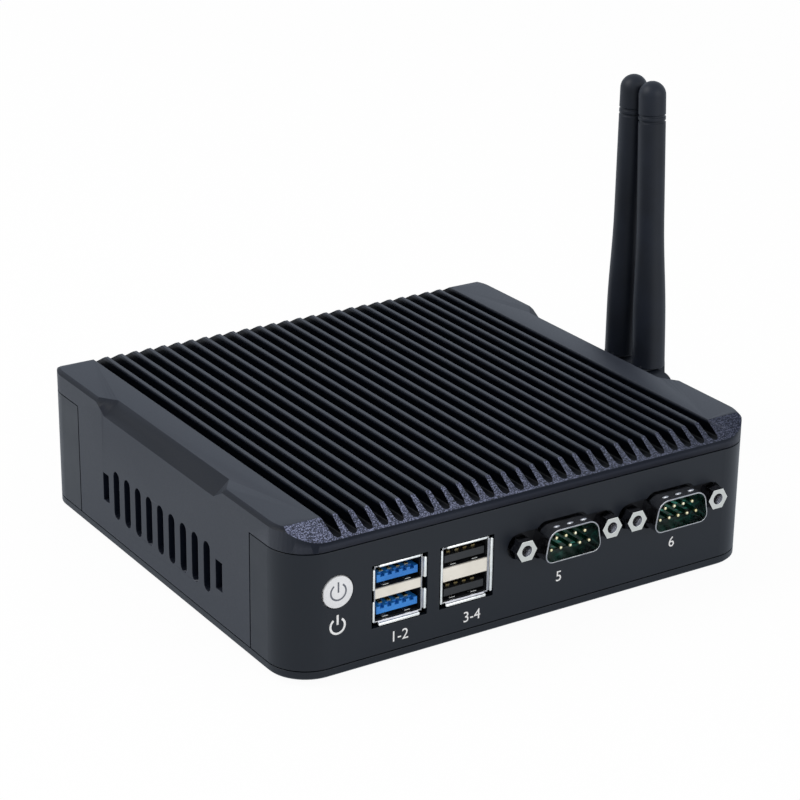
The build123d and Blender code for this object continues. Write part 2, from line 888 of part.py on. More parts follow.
front_face = front_panel_back
rear_face = rear_panel_back
serial_xs = (serial_1_x, serial_2_x)
pin_start = 0.2
write(dsub_shell(serial_xs, front_face, -1, dsub_width, dsub_height), "serial_shells")
write(dsub_insulator(serial_xs, front_face, -1, dsub_width, dsub_height, pin_start), "serial_insulators")

with BuildPart() as serial_pins:
    with BuildSketch(across(front_face - pin_start)):
        for port_x in serial_xs:
            for count, row_z in ((4, serial_z + pin_row / 2), (5, serial_z - pin_row / 2)):
                with Locations((port_x, row_z)):
                    with GridLocations(pin_pitch, 1, count, 1):
                        RegularPolygon(pin_radius, pin_sides)
    extrude(amount=pin_length)
write(serial_pins, "serial_pins")
write(jackscrews(serial_xs, front_face, -1), "serial_jackscrews")

# Analogue display port: a female D shell filled by its moulding, with three rows of holes
socket_shrink = 0.6
socket_recess = 0.3
socket_reach = dsub_reach - socket_recess
contact_pitch = 2.29
contact_row = 1.98
contact_hole = 0.9
contact_hole_depth = 4.0
female_width = dsub_width - socket_shrink
female_height = dsub_height - socket_shrink
write(dsub_shell((analogue_x,), rear_face, 1, female_width, female_height), "analogue_port_shell")
analogue_moulding = dsub_insulator((analogue_x,), rear_face, 1, female_width, female_height, socket_reach)
with BuildPart() as analogue_port_insulator:
    add(analogue_moulding.part)
    with BuildSketch(across(rear_face + socket_reach)):
        with Locations((analogue_x, serial_z)):
            with GridLocations(contact_pitch, 2 * contact_row, 5, 2):
                Rectangle(contact_hole, contact_hole)
        with Locations((analogue_x - contact_pitch / 2, serial_z)):
            with GridLocations(contact_pitch, 1, 5, 1):
                Rectangle(contact_hole, contact_hole)
    extrude(amount=contact_hole_depth, mode=Mode.SUBTRACT)
write(analogue_port_insulator, "analogue_port_insulator")
write(jackscrews((analogue_x,), rear_face, 1), "analogue_jackscrews")


def digital_outline(shrink):
    """The outline of the digital display port: two chamfered corners towards the board."""
    half = digital_width / 2 - shrink
    tall = digital_height / 2 - shrink
    slope = digital_slope
    with BuildSketch(mode=Mode.PRIVATE) as outline:
        with BuildLine():
            Polyline(
                (-half, -tall),
                (half, -tall),
                (half, tall - 2 * slope),
                (half - slope, tall - slope),
                (half - slope, tall),
                (-half + slope, tall),
                (-half + slope, tall - slope),
                (-half, tall - 2 * slope),
                close=True,
            )
        make_face()
    return outline.sketch


digital_front = rear_y - digital_recess
with BuildPart() as digital_port_shell:
    with BuildSketch(across(digital_front)):
        with Locations((digital_x, digital_z)):
            add(digital_outline(0))
    extrude(amount=digital_depth)
    with BuildSketch(across(digital_front)):
        with Locations((digital_x, digital_z)):
            add(digital_outline(shell_sheet))
    extrude(amount=digital_depth, mode=Mode.SUBTRACT)
    with BuildSketch(across(digital_front - digital_depth)):
        with Locations((digital_x, board_underside - digital_leg_height / 2)):
            with GridLocations(digital_width - 2 * digital_slope - shell_sheet, 1, 2, 1):
                Rectangle(shell_sheet, digital_leg_height)
    extrude(amount=-digital_leg)
write(digital_port_shell, "digital_port_shell")

with BuildPart() as digital_port_insulator:
    with BuildSketch(across(digital_front - digital_depth + digital_block)):
        with Locations((digital_x, digital_z)):
            add(digital_outline(shell_sheet))
    extrude(amount=digital_block)
    with BuildSketch(across(digital_front - digital_tongue_recess)):
        with Locations((digital_x, digital_z)):
            Rectangle(digital_tongue_width, digital_tongue_thickness)
    extrude(amount=digital_depth - digital_block)
write(digital_port_insulator, "digital_port_insulator")

# Two network ports side by side: a metal can, its moulding and the spring contacts
network_front = rear_y - port_recess
jack_centres = [(network_x - jack_pitch / 2, network_z), (network_x + jack_pitch / 2, network_z)]
jack_drop = 0.6
jack_reach_in = 12.5
spring_rise = 1.5
spring_count = 8
spring_pitch = 1.02
spring_width = 0.46
spring_thickness = 0.3
spring_top_length = 8.0
spring_tip_back = 3.5
spring_root_back = 6.6

with BuildPart() as network_can:
    with BuildSketch(across(network_front)):
        with Locations((network_x, network_z)):
            Rectangle(network_width, network_height)
            Rectangle(network_width - 2 * shell_sheet, network_height - 2 * shell_sheet, mode=Mode.SUBTRACT)
    extrude(amount=network_depth)
write(network_can, "network_can")

with BuildPart() as network_moulding:
    with BuildSketch(across(network_front - body_recess)):
        with Locations((network_x, network_z)):
            Rectangle(network_width - 2 * shell_sheet, network_height - 2 * shell_sheet)
    extrude(amount=network_depth - body_recess)
    with BuildSketch(across(network_front)):
        for x, z in jack_centres:
            with Locations((x, z - jack_drop)):
                Rectangle(jack_opening_width, jack_opening_height)
            with Locations((x, z - jack_drop - jack_opening_height / 2)):
                Rectangle(latch_width, 2 * latch_height)
    extrude(amount=jack_reach_in, mode=Mode.SUBTRACT)
write(network_moulding, "network_moulding")

with BuildPart() as network_contacts:
    spring_top = jack_opening_height / 2 - jack_drop
    spring_back = network_front - jack_reach_in
    with BuildSketch(beside(network_x)) as spring_side:
        with BuildLine():
            Polyline(
                (spring_back, network_z + spring_top),
                (spring_back + spring_top_length, network_z + spring_top),
                (spring_back + spring_tip_back, network_z + spring_top - spring_rise - spring_thickness),
                (spring_back + spring_tip_back - spring_thickness, network_z + spring_top - spring_rise),
                (spring_back + spring_root_back, network_z + spring_top - spring_thickness),
                close=True,
            )
        make_face()
    middle = (spring_count - 1) / 2
    shifts = [(k - middle) * spring_pitch + side * jack_pitch / 2 for side in (-1, 1) for k in range(spring_count)]
    with Locations(*[(shift, 0, 0) for shift in shifts]):
        add(extrude(spring_side.sketch, amount=spring_width / 2, both=True, mode=Mode.PRIVATE))
write(network_contacts, "network_contacts")

# Headset jack and power inlet
with BuildPart() as headset_jack:
    with BuildSketch(across(rear_panel_back)):
        with Locations((headset_x, headset_z)):
            RegularPolygon(headset_radius, fair_sides)
    extrude(amount=-panel_wall)
    with BuildSketch(across(rear_panel_back)):
        with Locations((headset_x, headset_z)):
            Rectangle(2 * (headset_radius + headset_side), 2 * (board_underside - headset_z))
    extrude(amount=headset_depth)
    with BuildSketch(across(rear_y)):
        with Locations((headset_x, headset_z)):
            Circle(headset_bore)
    extrude(amount=headset_bore_depth, mode=Mode.SUBTRACT)
write(headset_jack, "headset_jack")

inlet_front = rear_y - port_recess
with BuildPart() as power_inlet:
    with BuildSketch(across(inlet_front)):
        with Locations((inlet_x, inlet_z)):
            Rectangle(inlet_width, inlet_height)
    extrude(amount=inlet_depth)
    with BuildSketch(across(inlet_front)):
        with Locations((inlet_x, inlet_z)):
            RegularPolygon(inlet_bore, fair_sides)
    extrude(amount=inlet_bore_depth, mode=Mode.SUBTRACT)
write(power_inlet, "power_inlet")

with BuildPart() as inlet_centre_pin:
    with BuildSketch(across(inlet_front - inlet_bore_depth)):
        with Locations((inlet_x, inlet_z)):
            RegularPolygon(inlet_pin, light_sides)
    extrude(amount=-inlet_pin_length)
write(inlet_centre_pin, "inlet_centre_pin")

# Memory module in its socket, under the board. From the front, the board carries the stacks,
# the memory, the cards and the rear ports, with the spare depth shared out between them.
front_share = 0.44
rear_share = 0.29
memory_x = -6.0
memory_length = 67.6
memory_depth = 30.0
memory_chip_count = 4
memory_chip_pitch = 15.0
memory_chip_width = 11.0
memory_chip_depth = 13.0
memory_chip_height = 1.1
memory_chip_y = 12.0
card_thickness = 1.0
memory_socket_height = 5.2
memory_drop = 3.6
socket_back = 4.5
card_grip = 2.5
card_slot_gap = 0.1
arm_width = 1.7
arm_gap = 0.1
card_width = 30.0
memory_z = board_underside - memory_drop
rear_row_y = rear_y - port_recess - network_depth
spare_depth = rear_row_y - stack_back - memory_depth - socket_back - card_width
memory_front_y = stack_back + spare_depth * front_share
memory_back_y = memory_front_y + memory_depth

with BuildPart() as memory_socket:
    block_front = memory_back_y - card_grip
    block_depth = card_grip + socket_back
    with BuildSketch(level(board_underside)):
        with Locations((memory_x, block_front + block_depth / 2)):
            Rectangle(memory_length + 2 * (arm_gap + arm_width), block_depth)
        with Locations((memory_x, (memory_front_y + block_front) / 2)):
            with GridLocations(memory_length + 2 * arm_gap + arm_width, 1, 2, 1):
                Rectangle(arm_width, block_front - memory_front_y)
    extrude(amount=-memory_socket_height)
    with BuildSketch(level(memory_z)):
        with Locations((memory_x, memory_back_y - card_grip / 2)):
            Rectangle(memory_length + 2 * arm_gap, card_grip + card_slot_gap)
    extrude(amount=card_thickness + card_slot_gap, mode=Mode.SUBTRACT)
write(memory_socket, "memory_socket")

with BuildPart() as memory_module:
    with BuildSketch(level(memory_z)):
        with Locations((memory_x, memory_front_y + memory_depth / 2)):
            Rectangle(memory_length, memory_depth)
    extrude(amount=card_thickness)
    with BuildSketch(level(memory_z - memory_chip_height)):
        with Locations((memory_x, memory_front_y + memory_chip_y)):
            with GridLocations(memory_chip_pitch, 1, memory_chip_count, 1):
                Rectangle(memory_chip_width, memory_chip_depth)
    extrude(amount=memory_chip_height)
write(memory_module, "memory_module")

# Storage card and wireless card, back to back in two sockets, held down by posts
card_y = rear_row_y - spare_depth * rear_share - card_width / 2
card_z = 20.9
socket_height = 4.8
socket_depth = 7.5
card_slot = 3.0
sockets_middle_x = 4.25
sockets_gap = 0.5
storage_length = 50.8
wireless_length = 26.8
post_spread = 24.0
post_inset = 2.6
post_radius = 2.2
card_screw_radius = 1.0
card_screw_length = 3.0
card_head_radius = 1.9
card_head_height = 0.8
chip_height = 1.0
chip_width = 12.0
chip_depth = 18.0
storage_chips = (-8.0, 10.0)
wireless_chips = (-2.0,)
storage_edge_x = sockets_middle_x - sockets_gap / 2 - socket_depth + card_slot - card_slot_gap
wireless_edge_x = sockets_middle_x + sockets_gap / 2 + socket_depth - card_slot + card_slot_gap
storage_end_x = storage_edge_x - storage_length
wireless_end_x = wireless_edge_x + wireless_length
post_spots = [
    (x, card_y + side * post_spread / 2)
    for x in (storage_end_x + post_inset, wireless_end_x - post_inset)
    for side in (-1, 1)
]

with BuildPart() as card_sockets:
    with BuildSketch(level(board_underside)):
        with Locations((sockets_middle_x, card_y)):
            with GridLocations(socket_depth + sockets_gap, 1, 2, 1):
                Rectangle(socket_depth, card_width)
    extrude(amount=-socket_height)
    with BuildSketch(level(card_z - card_slot_gap / 2)):
        with Locations((sockets_middle_x, card_y)):
            with GridLocations(sockets_gap + 2 * socket_depth - card_slot, 1, 2, 1):
                Rectangle(card_slot, card_width)
    extrude(amount=card_thickness + card_slot_gap, mode=Mode.SUBTRACT)
write(card_sockets, "card_sockets")

with BuildPart() as card_posts:
    with BuildSketch(level(board_underside)):
        with Locations(*post_spots):
            RegularPolygon(post_radius, 6)
            RegularPolygon(card_screw_radius + screw_clearance, pin_sides, mode=Mode.SUBTRACT)
    extrude(amount=-(board_underside - card_z - card_thickness))
write(card_posts, "card_posts")

with BuildPart() as card_screws:
    with BuildSketch(level(card_z)):
        with Locations(*post_spots):
            RegularPolygon(card_head_radius, 6)
    extrude(amount=-card_head_height)
    with BuildSketch(level(card_z)):
        with Locations(*post_spots):
            RegularPolygon(card_screw_radius, pin_sides)
    extrude(amount=card_screw_length)
write(card_screws, "card_screws")


def plug_in_card(edge_x, end_x, chips):
    """A card with its chips above it and holes for its two screws."""
    middle_x = (edge_x + end_x) / 2
    length = abs(end_x - edge_x)
    spots = [spot for spot in post_spots if abs(spot[0] - end_x) < post_inset + 1]
    with BuildPart() as card:
        with BuildSketch(level(card_z)):
            with Locations((middle_x, card_y)):
                Rectangle(length, card_width)
            with Locations(*spots):
                RegularPolygon(card_screw_radius + screw_clearance, pin_sides, mode=Mode.SUBTRACT)
        extrude(amount=card_thickness)
        with BuildSketch(level(card_z + card_thickness)):
            for shift in chips:
                with Locations((middle_x + shift, card_y)):
                    Rectangle(chip_width, chip_depth)
        extrude(amount=chip_height)
    return card


write(plug_in_card(storage_edge_x, storage_end_x, storage_chips), "storage_card")
write(plug_in_card(wireless_edge_x, wireless_end_x, wireless_chips), "wireless_card")

# Clock cell in its holder
cell_gap = 2.9
cell_shift = 10.5
cell_radius = 10.0
cell_thickness = 3.2
cell_slack = 0.1
holder_wall = 0.9
holder_base = 1.4
holder_depth = 3.96
holder_radius = cell_radius + cell_slack + holder_wall
cell_x = memory_x + memory_length / 2 + arm_gap + arm_width + cell_gap + holder_radius
cell_y = memory_front_y + cell_shift

with BuildPart() as cell_holder:
    with BuildSketch(level(board_underside)):
        with Locations((cell_x, cell_y)):
            RegularPolygon(holder_radius, light_sides, major_radius=False)
    extrude(amount=-holder_depth)
    with BuildSketch(level(board_underside - holder_base)):
        with Locations((cell_x, cell_y)):
            RegularPolygon(cell_radius + cell_slack, round_sides)
    extrude(amount=-cell_thickness, mode=Mode.SUBTRACT)
write(cell_holder, "cell_holder")

with BuildPart() as backup_cell:
    with BuildSketch(level(board_underside - holder_base)):
        with Locations((cell_x, cell_y)):
            RegularPolygon(cell_radius, round_sides)
    extrude(amount=-cell_thickness)
write(backup_cell, "backup_cell")


# Antennas: each stands in its own plane, local X out of the wall and local Y up the whip
wall_x = body_width / 2
jack_hex_depth = 3.0
crimp_length = 6.0
crimp_radius = 2.0
coupling_end = coupling_start + coupling_length
web_start = coupling_end - coupling_web
retainer_radius = jack_thread_radius - retainer_step
knuckle_start = coupling_end + web_end_gap
collar_end = knuckle_start + collar_length
retainer_start = jack_reach + retainer_gap
plug_x = wireless_end_x - plug_reach


def antenna_plane(y, lean):
    """The upright plane of one antenna, leaning back by some degrees."""
    tilt = math.radians(lean)
    return Plane(
        origin=(wall_x, y, antenna_z),
        x_dir=(1, 0, 0),
        z_dir=(0, -math.cos(tilt), math.sin(tilt)),
    )


def facing_out(plane, reach):
    """A plane across an antenna's swivel axis, at a distance out of the wall."""
    return Plane(origin=plane.from_local_coords((reach, 0, 0)), x_dir=plane.y_dir, z_dir=plane.x_dir)


def antenna_jack(y):
    """A bulkhead jack: hexagon inside, thread through the wall, crimp for the lead."""
    with BuildPart() as jack:
        with BuildSketch(beside(wall_x - side_wall)):
            with Locations((y, antenna_z)):
                RegularPolygon(jack_flats / 2, 6, major_radius=False)
        extrude(amount=-jack_hex_depth)
        with BuildSketch(beside(wall_x - side_wall)):
            with Locations((y, antenna_z)):
                RegularPolygon(jack_thread_radius, fair_sides)
        extrude(amount=side_wall + jack_reach)
        with BuildSketch(beside(wall_x - side_wall - jack_hex_depth)):
            with Locations((y, antenna_z)):
                RegularPolygon(crimp_radius, light_sides)
        extrude(amount=-crimp_length)
    return jack


def coupling(y):
    """The nut that holds an antenna on its jack."""
    with BuildPart() as nut:
        with BuildSketch(beside(wall_x + coupling_start)):
            with Locations((y, antenna_z)):
                RegularPolygon(coupling_flats / 2, 6, major_radius=False)
        extrude(amount=coupling_length)
        with BuildSketch(beside(wall_x + coupling_start)):
            with Locations((y, antenna_z)):
                RegularPolygon(jack_thread_radius + nut_bore_gap, fair_sides)
        extrude(amount=coupling_length - coupling_web, mode=Mode.SUBTRACT)
        with BuildSketch(beside(wall_x + coupling_start)):
            with Locations((y, antenna_z)):
                Circle(spigot_radius + running_gap)
        extrude(amount=coupling_length, mode=Mode.SUBTRACT)
    return nut


def knuckle(plane):
    """The swivelling fork: spigot, collar and two cheeks."""
    retainer_end = web_start - web_end_gap
    knuckle_end = hinge_reach + cheek_radius
    with BuildPart() as fork:
        with BuildSketch(facing_out(plane, knuckle_start)):
            RegularPolygon(knuckle_radius, round_sides)
        extrude(amount=knuckle_end - knuckle_start)
        with BuildSketch(plane):
            with Locations((hinge_reach / 2, 0)):
                Rectangle(hinge_reach, 2 * cheek_radius)
            with Locations((hinge_reach, 0)):
                RegularPolygon(cheek_radius, round_sides)
        extrude(amount=cheek_radius, both=True, mode=Mode.INTERSECT)
        with BuildSketch(plane):
            with Locations((knuckle_end, 0)):
                Rectangle(2 * (knuckle_end - collar_end), 4 * cheek_radius)
        extrude(amount=hinge_slot / 2, both=True, mode=Mode.SUBTRACT)
        with BuildSketch(plane):
            with Locations((hinge_reach, 0)):
                RegularPolygon(hinge_pin_radius + pin_gap, fair_sides)
        extrude(amount=cheek_radius, both=True, mode=Mode.SUBTRACT)
        with BuildSketch(facing_out(plane, retainer_start)):
            RegularPolygon(retainer_radius, fair_sides)
        extrude(amount=retainer_end - retainer_start)
        with BuildSketch(facing_out(plane, retainer_end)):
            Circle(spigot_radius)
        extrude(amount=knuckle_start - retainer_end)
    return fork


def hinge_pin(plane):
    """The pin across the fork."""
    with BuildPart() as pin:
        with BuildSketch(plane):
            with Locations((hinge_reach, 0)):
                RegularPolygon(hinge_pin_radius, fair_sides)
        extrude(amount=knuckle_radius - pin_recess, both=True)
    return pin


def whip(plane):
    """The moulded whip: a tongue in the fork and a tapered rod with a domed end."""
    turns = [math.radians(90 * k / dome_steps) for k in range(dome_steps)]
    rings = [(whip_base_radius, whip_start)]
    rings += [(whip_top_radius * math.cos(turn), whip_length - whip_top_radius * (1 - math.sin(turn))) for turn in turns]
    rings.append((whip_tip_radius, whip_length))
    flat_share = math.cos(math.pi / round_sides)
    with BuildPart() as rod:
        for (radius, height), (next_radius, next_height) in zip(rings, rings[1:]):
            centre = plane.from_local_coords((hinge_reach, height, 0))
            with BuildSketch(Plane(origin=centre, x_dir=plane.x_dir, z_dir=plane.y_dir)):
                RegularPolygon(radius, round_sides)
            rise = next_height - height
            extrude(amount=rise, taper=math.degrees(math.atan2((radius - next_radius) * flat_share, rise)))
        with BuildSketch(plane):
            with Locations((hinge_reach, 0)):
                RegularPolygon(whip_base_radius, round_sides)
            with Locations((hinge_reach, whip_start / 2)):
                Rectangle(2 * (whip_base_radius - neck_inset), whip_start + tongue_overlap)
            with Locations((hinge_reach, 0)):
                Circle(hinge_pin_radius + running_gap, mode=Mode.SUBTRACT)
        extrude(amount=hinge_tongue / 2, both=True)
    return rod


def antenna_lead(y, plug_y):
    """A thin lead from a jack's crimp to its plug on the wireless card, with two soft bends."""
    start_x = wall_x - side_wall - jack_hex_depth - crimp_length
    run = plug_x - start_x
    plug = (plug_x, plug_y)
    bend_1 = (start_x + run * first_bend, y)
    bend_2 = (start_x + run * second_bend, plug_y - math.copysign(bend_rise, plug_y - y))
    points = [(x, y, antenna_z) for x, y in ((start_x, y), bend_1, bend_2, plug)]
    with BuildPart() as lead:
        with BuildLine():
            Polyline(*points)
        with BuildSketch(Plane(origin=points[0], z_dir=(-1, 0, 0))):
            RegularPolygon(lead_radius, pin_sides)
        sweep(transition=Transition.RIGHT)
        with BuildSketch(level(antenna_z - lead_radius)):
            with Locations(plug):
                RegularPolygon(plug_radius, light_sides)
        extrude(amount=card_z - antenna_z + lead_radius)
    return lead


antennas = (
    ("front", front_antenna_y, front_antenna_lean, card_y - plug_front_shift),
    ("rear", rear_antenna_y, rear_antenna_lean, card_y + plug_rear_shift),
)
for place, y, lean, plug_y in antennas:
    upright = antenna_plane(y, lean)
    write(antenna_jack(y), f"{place}_antenna_jack")
    write(coupling(y), f"{place}_coupling_nut")
    write(knuckle(upright), f"{place}_knuckle")
    write(hinge_pin(upright), f"{place}_hinge_pin")
    write(whip(upright), f"{place}_whip")
    write(antenna_lead(y, plug_y), f"{place}_antenna_lead")

# Flanged nuts that hold the jacks in the wall, one group
with BuildPart() as jack_nuts:
    for nut_start, nut_depth, round_flange in (
        (wall_x, washer_thickness, True),
        (wall_x + washer_thickness, nut_thickness, False),
    ):
        with BuildSketch(beside(nut_start)):
            with Locations((front_antenna_y, antenna_z), (rear_antenna_y, antenna_z)):
                if round_flange:
                    RegularPolygon(washer_radius, fair_sides)
                else:
                    RegularPolygon(jack_flats / 2, 6, major_radius=False)
                RegularPolygon(jack_thread_radius + nut_bore_gap, fair_sides, mode=Mode.SUBTRACT)
        extrude(amount=nut_depth)
write(jack_nuts, "jack_nuts")
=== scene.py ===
import math
from contextlib import contextmanager

import bpy
from bpy.props import FloatProperty, FloatVectorProperty, IntProperty, PointerProperty
from mathutils import Matrix, Vector


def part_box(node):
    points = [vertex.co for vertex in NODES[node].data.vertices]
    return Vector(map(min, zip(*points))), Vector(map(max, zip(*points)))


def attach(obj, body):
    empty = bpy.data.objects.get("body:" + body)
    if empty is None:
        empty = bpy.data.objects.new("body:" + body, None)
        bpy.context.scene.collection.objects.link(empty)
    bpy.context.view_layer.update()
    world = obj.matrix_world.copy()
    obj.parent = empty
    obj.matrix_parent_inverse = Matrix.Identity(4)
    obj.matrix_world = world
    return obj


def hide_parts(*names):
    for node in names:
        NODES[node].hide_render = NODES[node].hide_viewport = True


bl_info = {
    "name": "Fanless computer dressing",
    "version": (1, 0, 0),
    "blender": (4, 5, 0),
    "location": "3D View > Sidebar > Computer",
    "description": "Finishes and fine pieces for a small finned computer with two antennas",
    "category": "Object",
}

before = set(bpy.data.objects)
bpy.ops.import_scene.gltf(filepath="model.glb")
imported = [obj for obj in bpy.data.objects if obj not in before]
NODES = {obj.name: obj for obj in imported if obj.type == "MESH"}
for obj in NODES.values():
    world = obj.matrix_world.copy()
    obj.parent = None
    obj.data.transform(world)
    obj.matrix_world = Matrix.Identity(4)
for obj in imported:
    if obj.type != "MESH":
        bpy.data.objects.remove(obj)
MM = 0.001

# Outer face of the right wall, and the height of the antennas' axis and the reach of their hinges from the wall
WALL_X, ANTENNA_Z, HINGE_REACH = 67.0 * MM, 20.0 * MM, 19.5 * MM
# Middles of the nine-pin ports and of the rear screw-on port, and the spacing of their screws
NINE_PIN_X, REAR_PORT_X, SCREW_SPACING = (7.7 * MM, 40.2 * MM), -38.0 * MM, 24.99 * MM
# Height of the socket stacks' middle, half the height of their mouths, and the thickness of their liners
STACK_Z, STACK_HALF, LINER = 17.35 * MM, 6.85 * MM, 0.12 * MM
# Half the width of the field of fins
FIELD_HALF = 55.8 * MM

ORIGIN, FRONT, BACK, RIGHT = (0, 0, 0), (0, -1, 0), (0, 1, 0), (1, 0, 0)
BLACK, WHITE = (0.0, 0.0, 0.0, 1.0), (1.0, 1.0, 1.0, 1.0)


# Colours and nodes

def linear(hex_colour):
    """An sRGB hex colour as a linear RGBA tuple."""
    channels = [int(hex_colour[i:i + 2], 16) / 255 for i in (1, 3, 5)]
    return (*[c / 12.92 if c <= 0.04045 else ((c + 0.055) / 1.055) ** 2.4 for c in channels], 1.0)


def scaled(colour, red, green, blue):
    """A colour with each channel made darker or lighter."""
    return colour[0] * red, colour[1] * green, colour[2] * blue, 1.0


def feed(tree, socket, value):
    """Links another node's output into an input, or sets the input to a plain value."""
    if isinstance(value, bpy.types.NodeSocket):
        tree.links.new(value, socket)
    else:
        socket.default_value = value


def add_node(tree, kind, inputs=None, **settings):
    """Adds one node, sets its properties and feeds its inputs."""
    made = tree.nodes.new(kind)
    for key, value in settings.items():
        setattr(made, key, value)
    for key, value in (inputs or {}).items():
        feed(tree, made.inputs[key], value)
    return made


def start_material(name, **inputs):
    """A material with a Principled shader, and the object coordinates its patterns read."""
    material = bpy.data.materials.new(name)
    material.use_nodes = True
    tree = material.node_tree
    for key, value in inputs.items():
        tree.nodes["Principled BSDF"].inputs[key.replace("_", " ")].default_value = value
    return material, tree, add_node(tree, "ShaderNodeTexCoord").outputs["Object"]


def finish_material(material, colour, rough, relief=None):
    """Feeds the shader's colour, its roughness and its relief where there is one."""
    tree = material.node_tree
    for key, socket in (("Base Color", colour), ("Roughness", rough), ("Normal", relief)):
        if socket:
            tree.links.new(socket, tree.nodes["Principled BSDF"].inputs[key])
    return material


def ramp(tree, factor, stops):
    """A colour ramp from (position, hex colour) stops."""
    made = add_node(tree, "ShaderNodeValToRGB", {"Fac": factor})
    elements = made.color_ramp.elements
    while len(elements) < len(stops):
        elements.new(0.5)
    for element, (position, colour) in zip(elements, stops):
        element.position = position
        element.color = linear(colour)
    return made.outputs["Color"]


def spread(tree, factor, low, high):
    """Maps a 0 to 1 factor to a range of plain values."""
    return add_node(
        tree, "ShaderNodeMapRange", {"Value": factor, "To Min": low, "To Max": high}).outputs["Result"]


def window(tree, value, start, end):
    """0 at the start and 1 at the end of a range of values, held beyond them."""
    return add_node(
        tree, "ShaderNodeMapRange", {"Value": value, "From Min": start, "From Max": end}).outputs["Result"]


def grain(tree, place, size_mm, detail=2.0, roughness=0.5):
    """Noise whose grains are about size_mm across."""
    inputs = {"Vector": place, "Scale": 1 / (size_mm * MM), "Detail": detail, "Roughness": roughness}
    return add_node(tree, "ShaderNodeTexNoise", inputs).outputs["Fac"]


def bump(tree, height, depth_mm, strength, normal=None):
    """Surface relief of a depth in millimetres."""
    inputs = {"Height": height, "Strength": strength, "Distance": depth_mm * MM}
    if normal:
        inputs["Normal"] = normal
    return add_node(tree, "ShaderNodeBump", inputs).outputs["Normal"]


def axes(tree, vector):
    """The X, Y and Z of a vector."""
    return tuple(add_node(tree, "ShaderNodeSeparateXYZ", {"Vector": vector}).outputs)


def true_normal(tree):
    """The direction that a flat face looks in."""
    return add_node(tree, "ShaderNodeNewGeometry").outputs["True Normal"]


def soft_edges(tree, radius_mm):
    """Edges rounded in the shading, as a coat rounds them."""
    return add_node(tree, "ShaderNodeBevel", {"Radius": radius_mm * MM}, samples=6).outputs["Normal"]


def highlit_edges(tree, radius_mm):
    """1 along the edges within a radius and 0 on the flats, from how far the rounded normal leans: the mask of the
    painted highlights along edges.
    """
    match = add_node(
        tree, "ShaderNodeVectorMath", {0: soft_edges(tree, radius_mm), 1: true_normal(tree)},
        operation="DOT_PRODUCT")
    return window(tree, match.outputs["Value"], 0.98, 0.8)


def calculate(tree, operation, *values):
    """One sum of sockets or numbers, held between 0 and 1."""
    return add_node(
        tree, "ShaderNodeMath", dict(enumerate(values)), operation=operation, use_clamp=True).outputs[0]


def product(tree, first, *others):
    """Several 0 to 1 factors multiplied."""
    for other in others:
        first = calculate(tree, "MULTIPLY", first, other)
    return first


def blend(tree, factor, first, second):
    """Mixes two colours, each a socket or a linear colour."""
    return add_node(
        tree, "ShaderNodeMix", {"Factor": factor, "A": first, "B": second}, data_type="RGBA").outputs["Result"]


# Materials

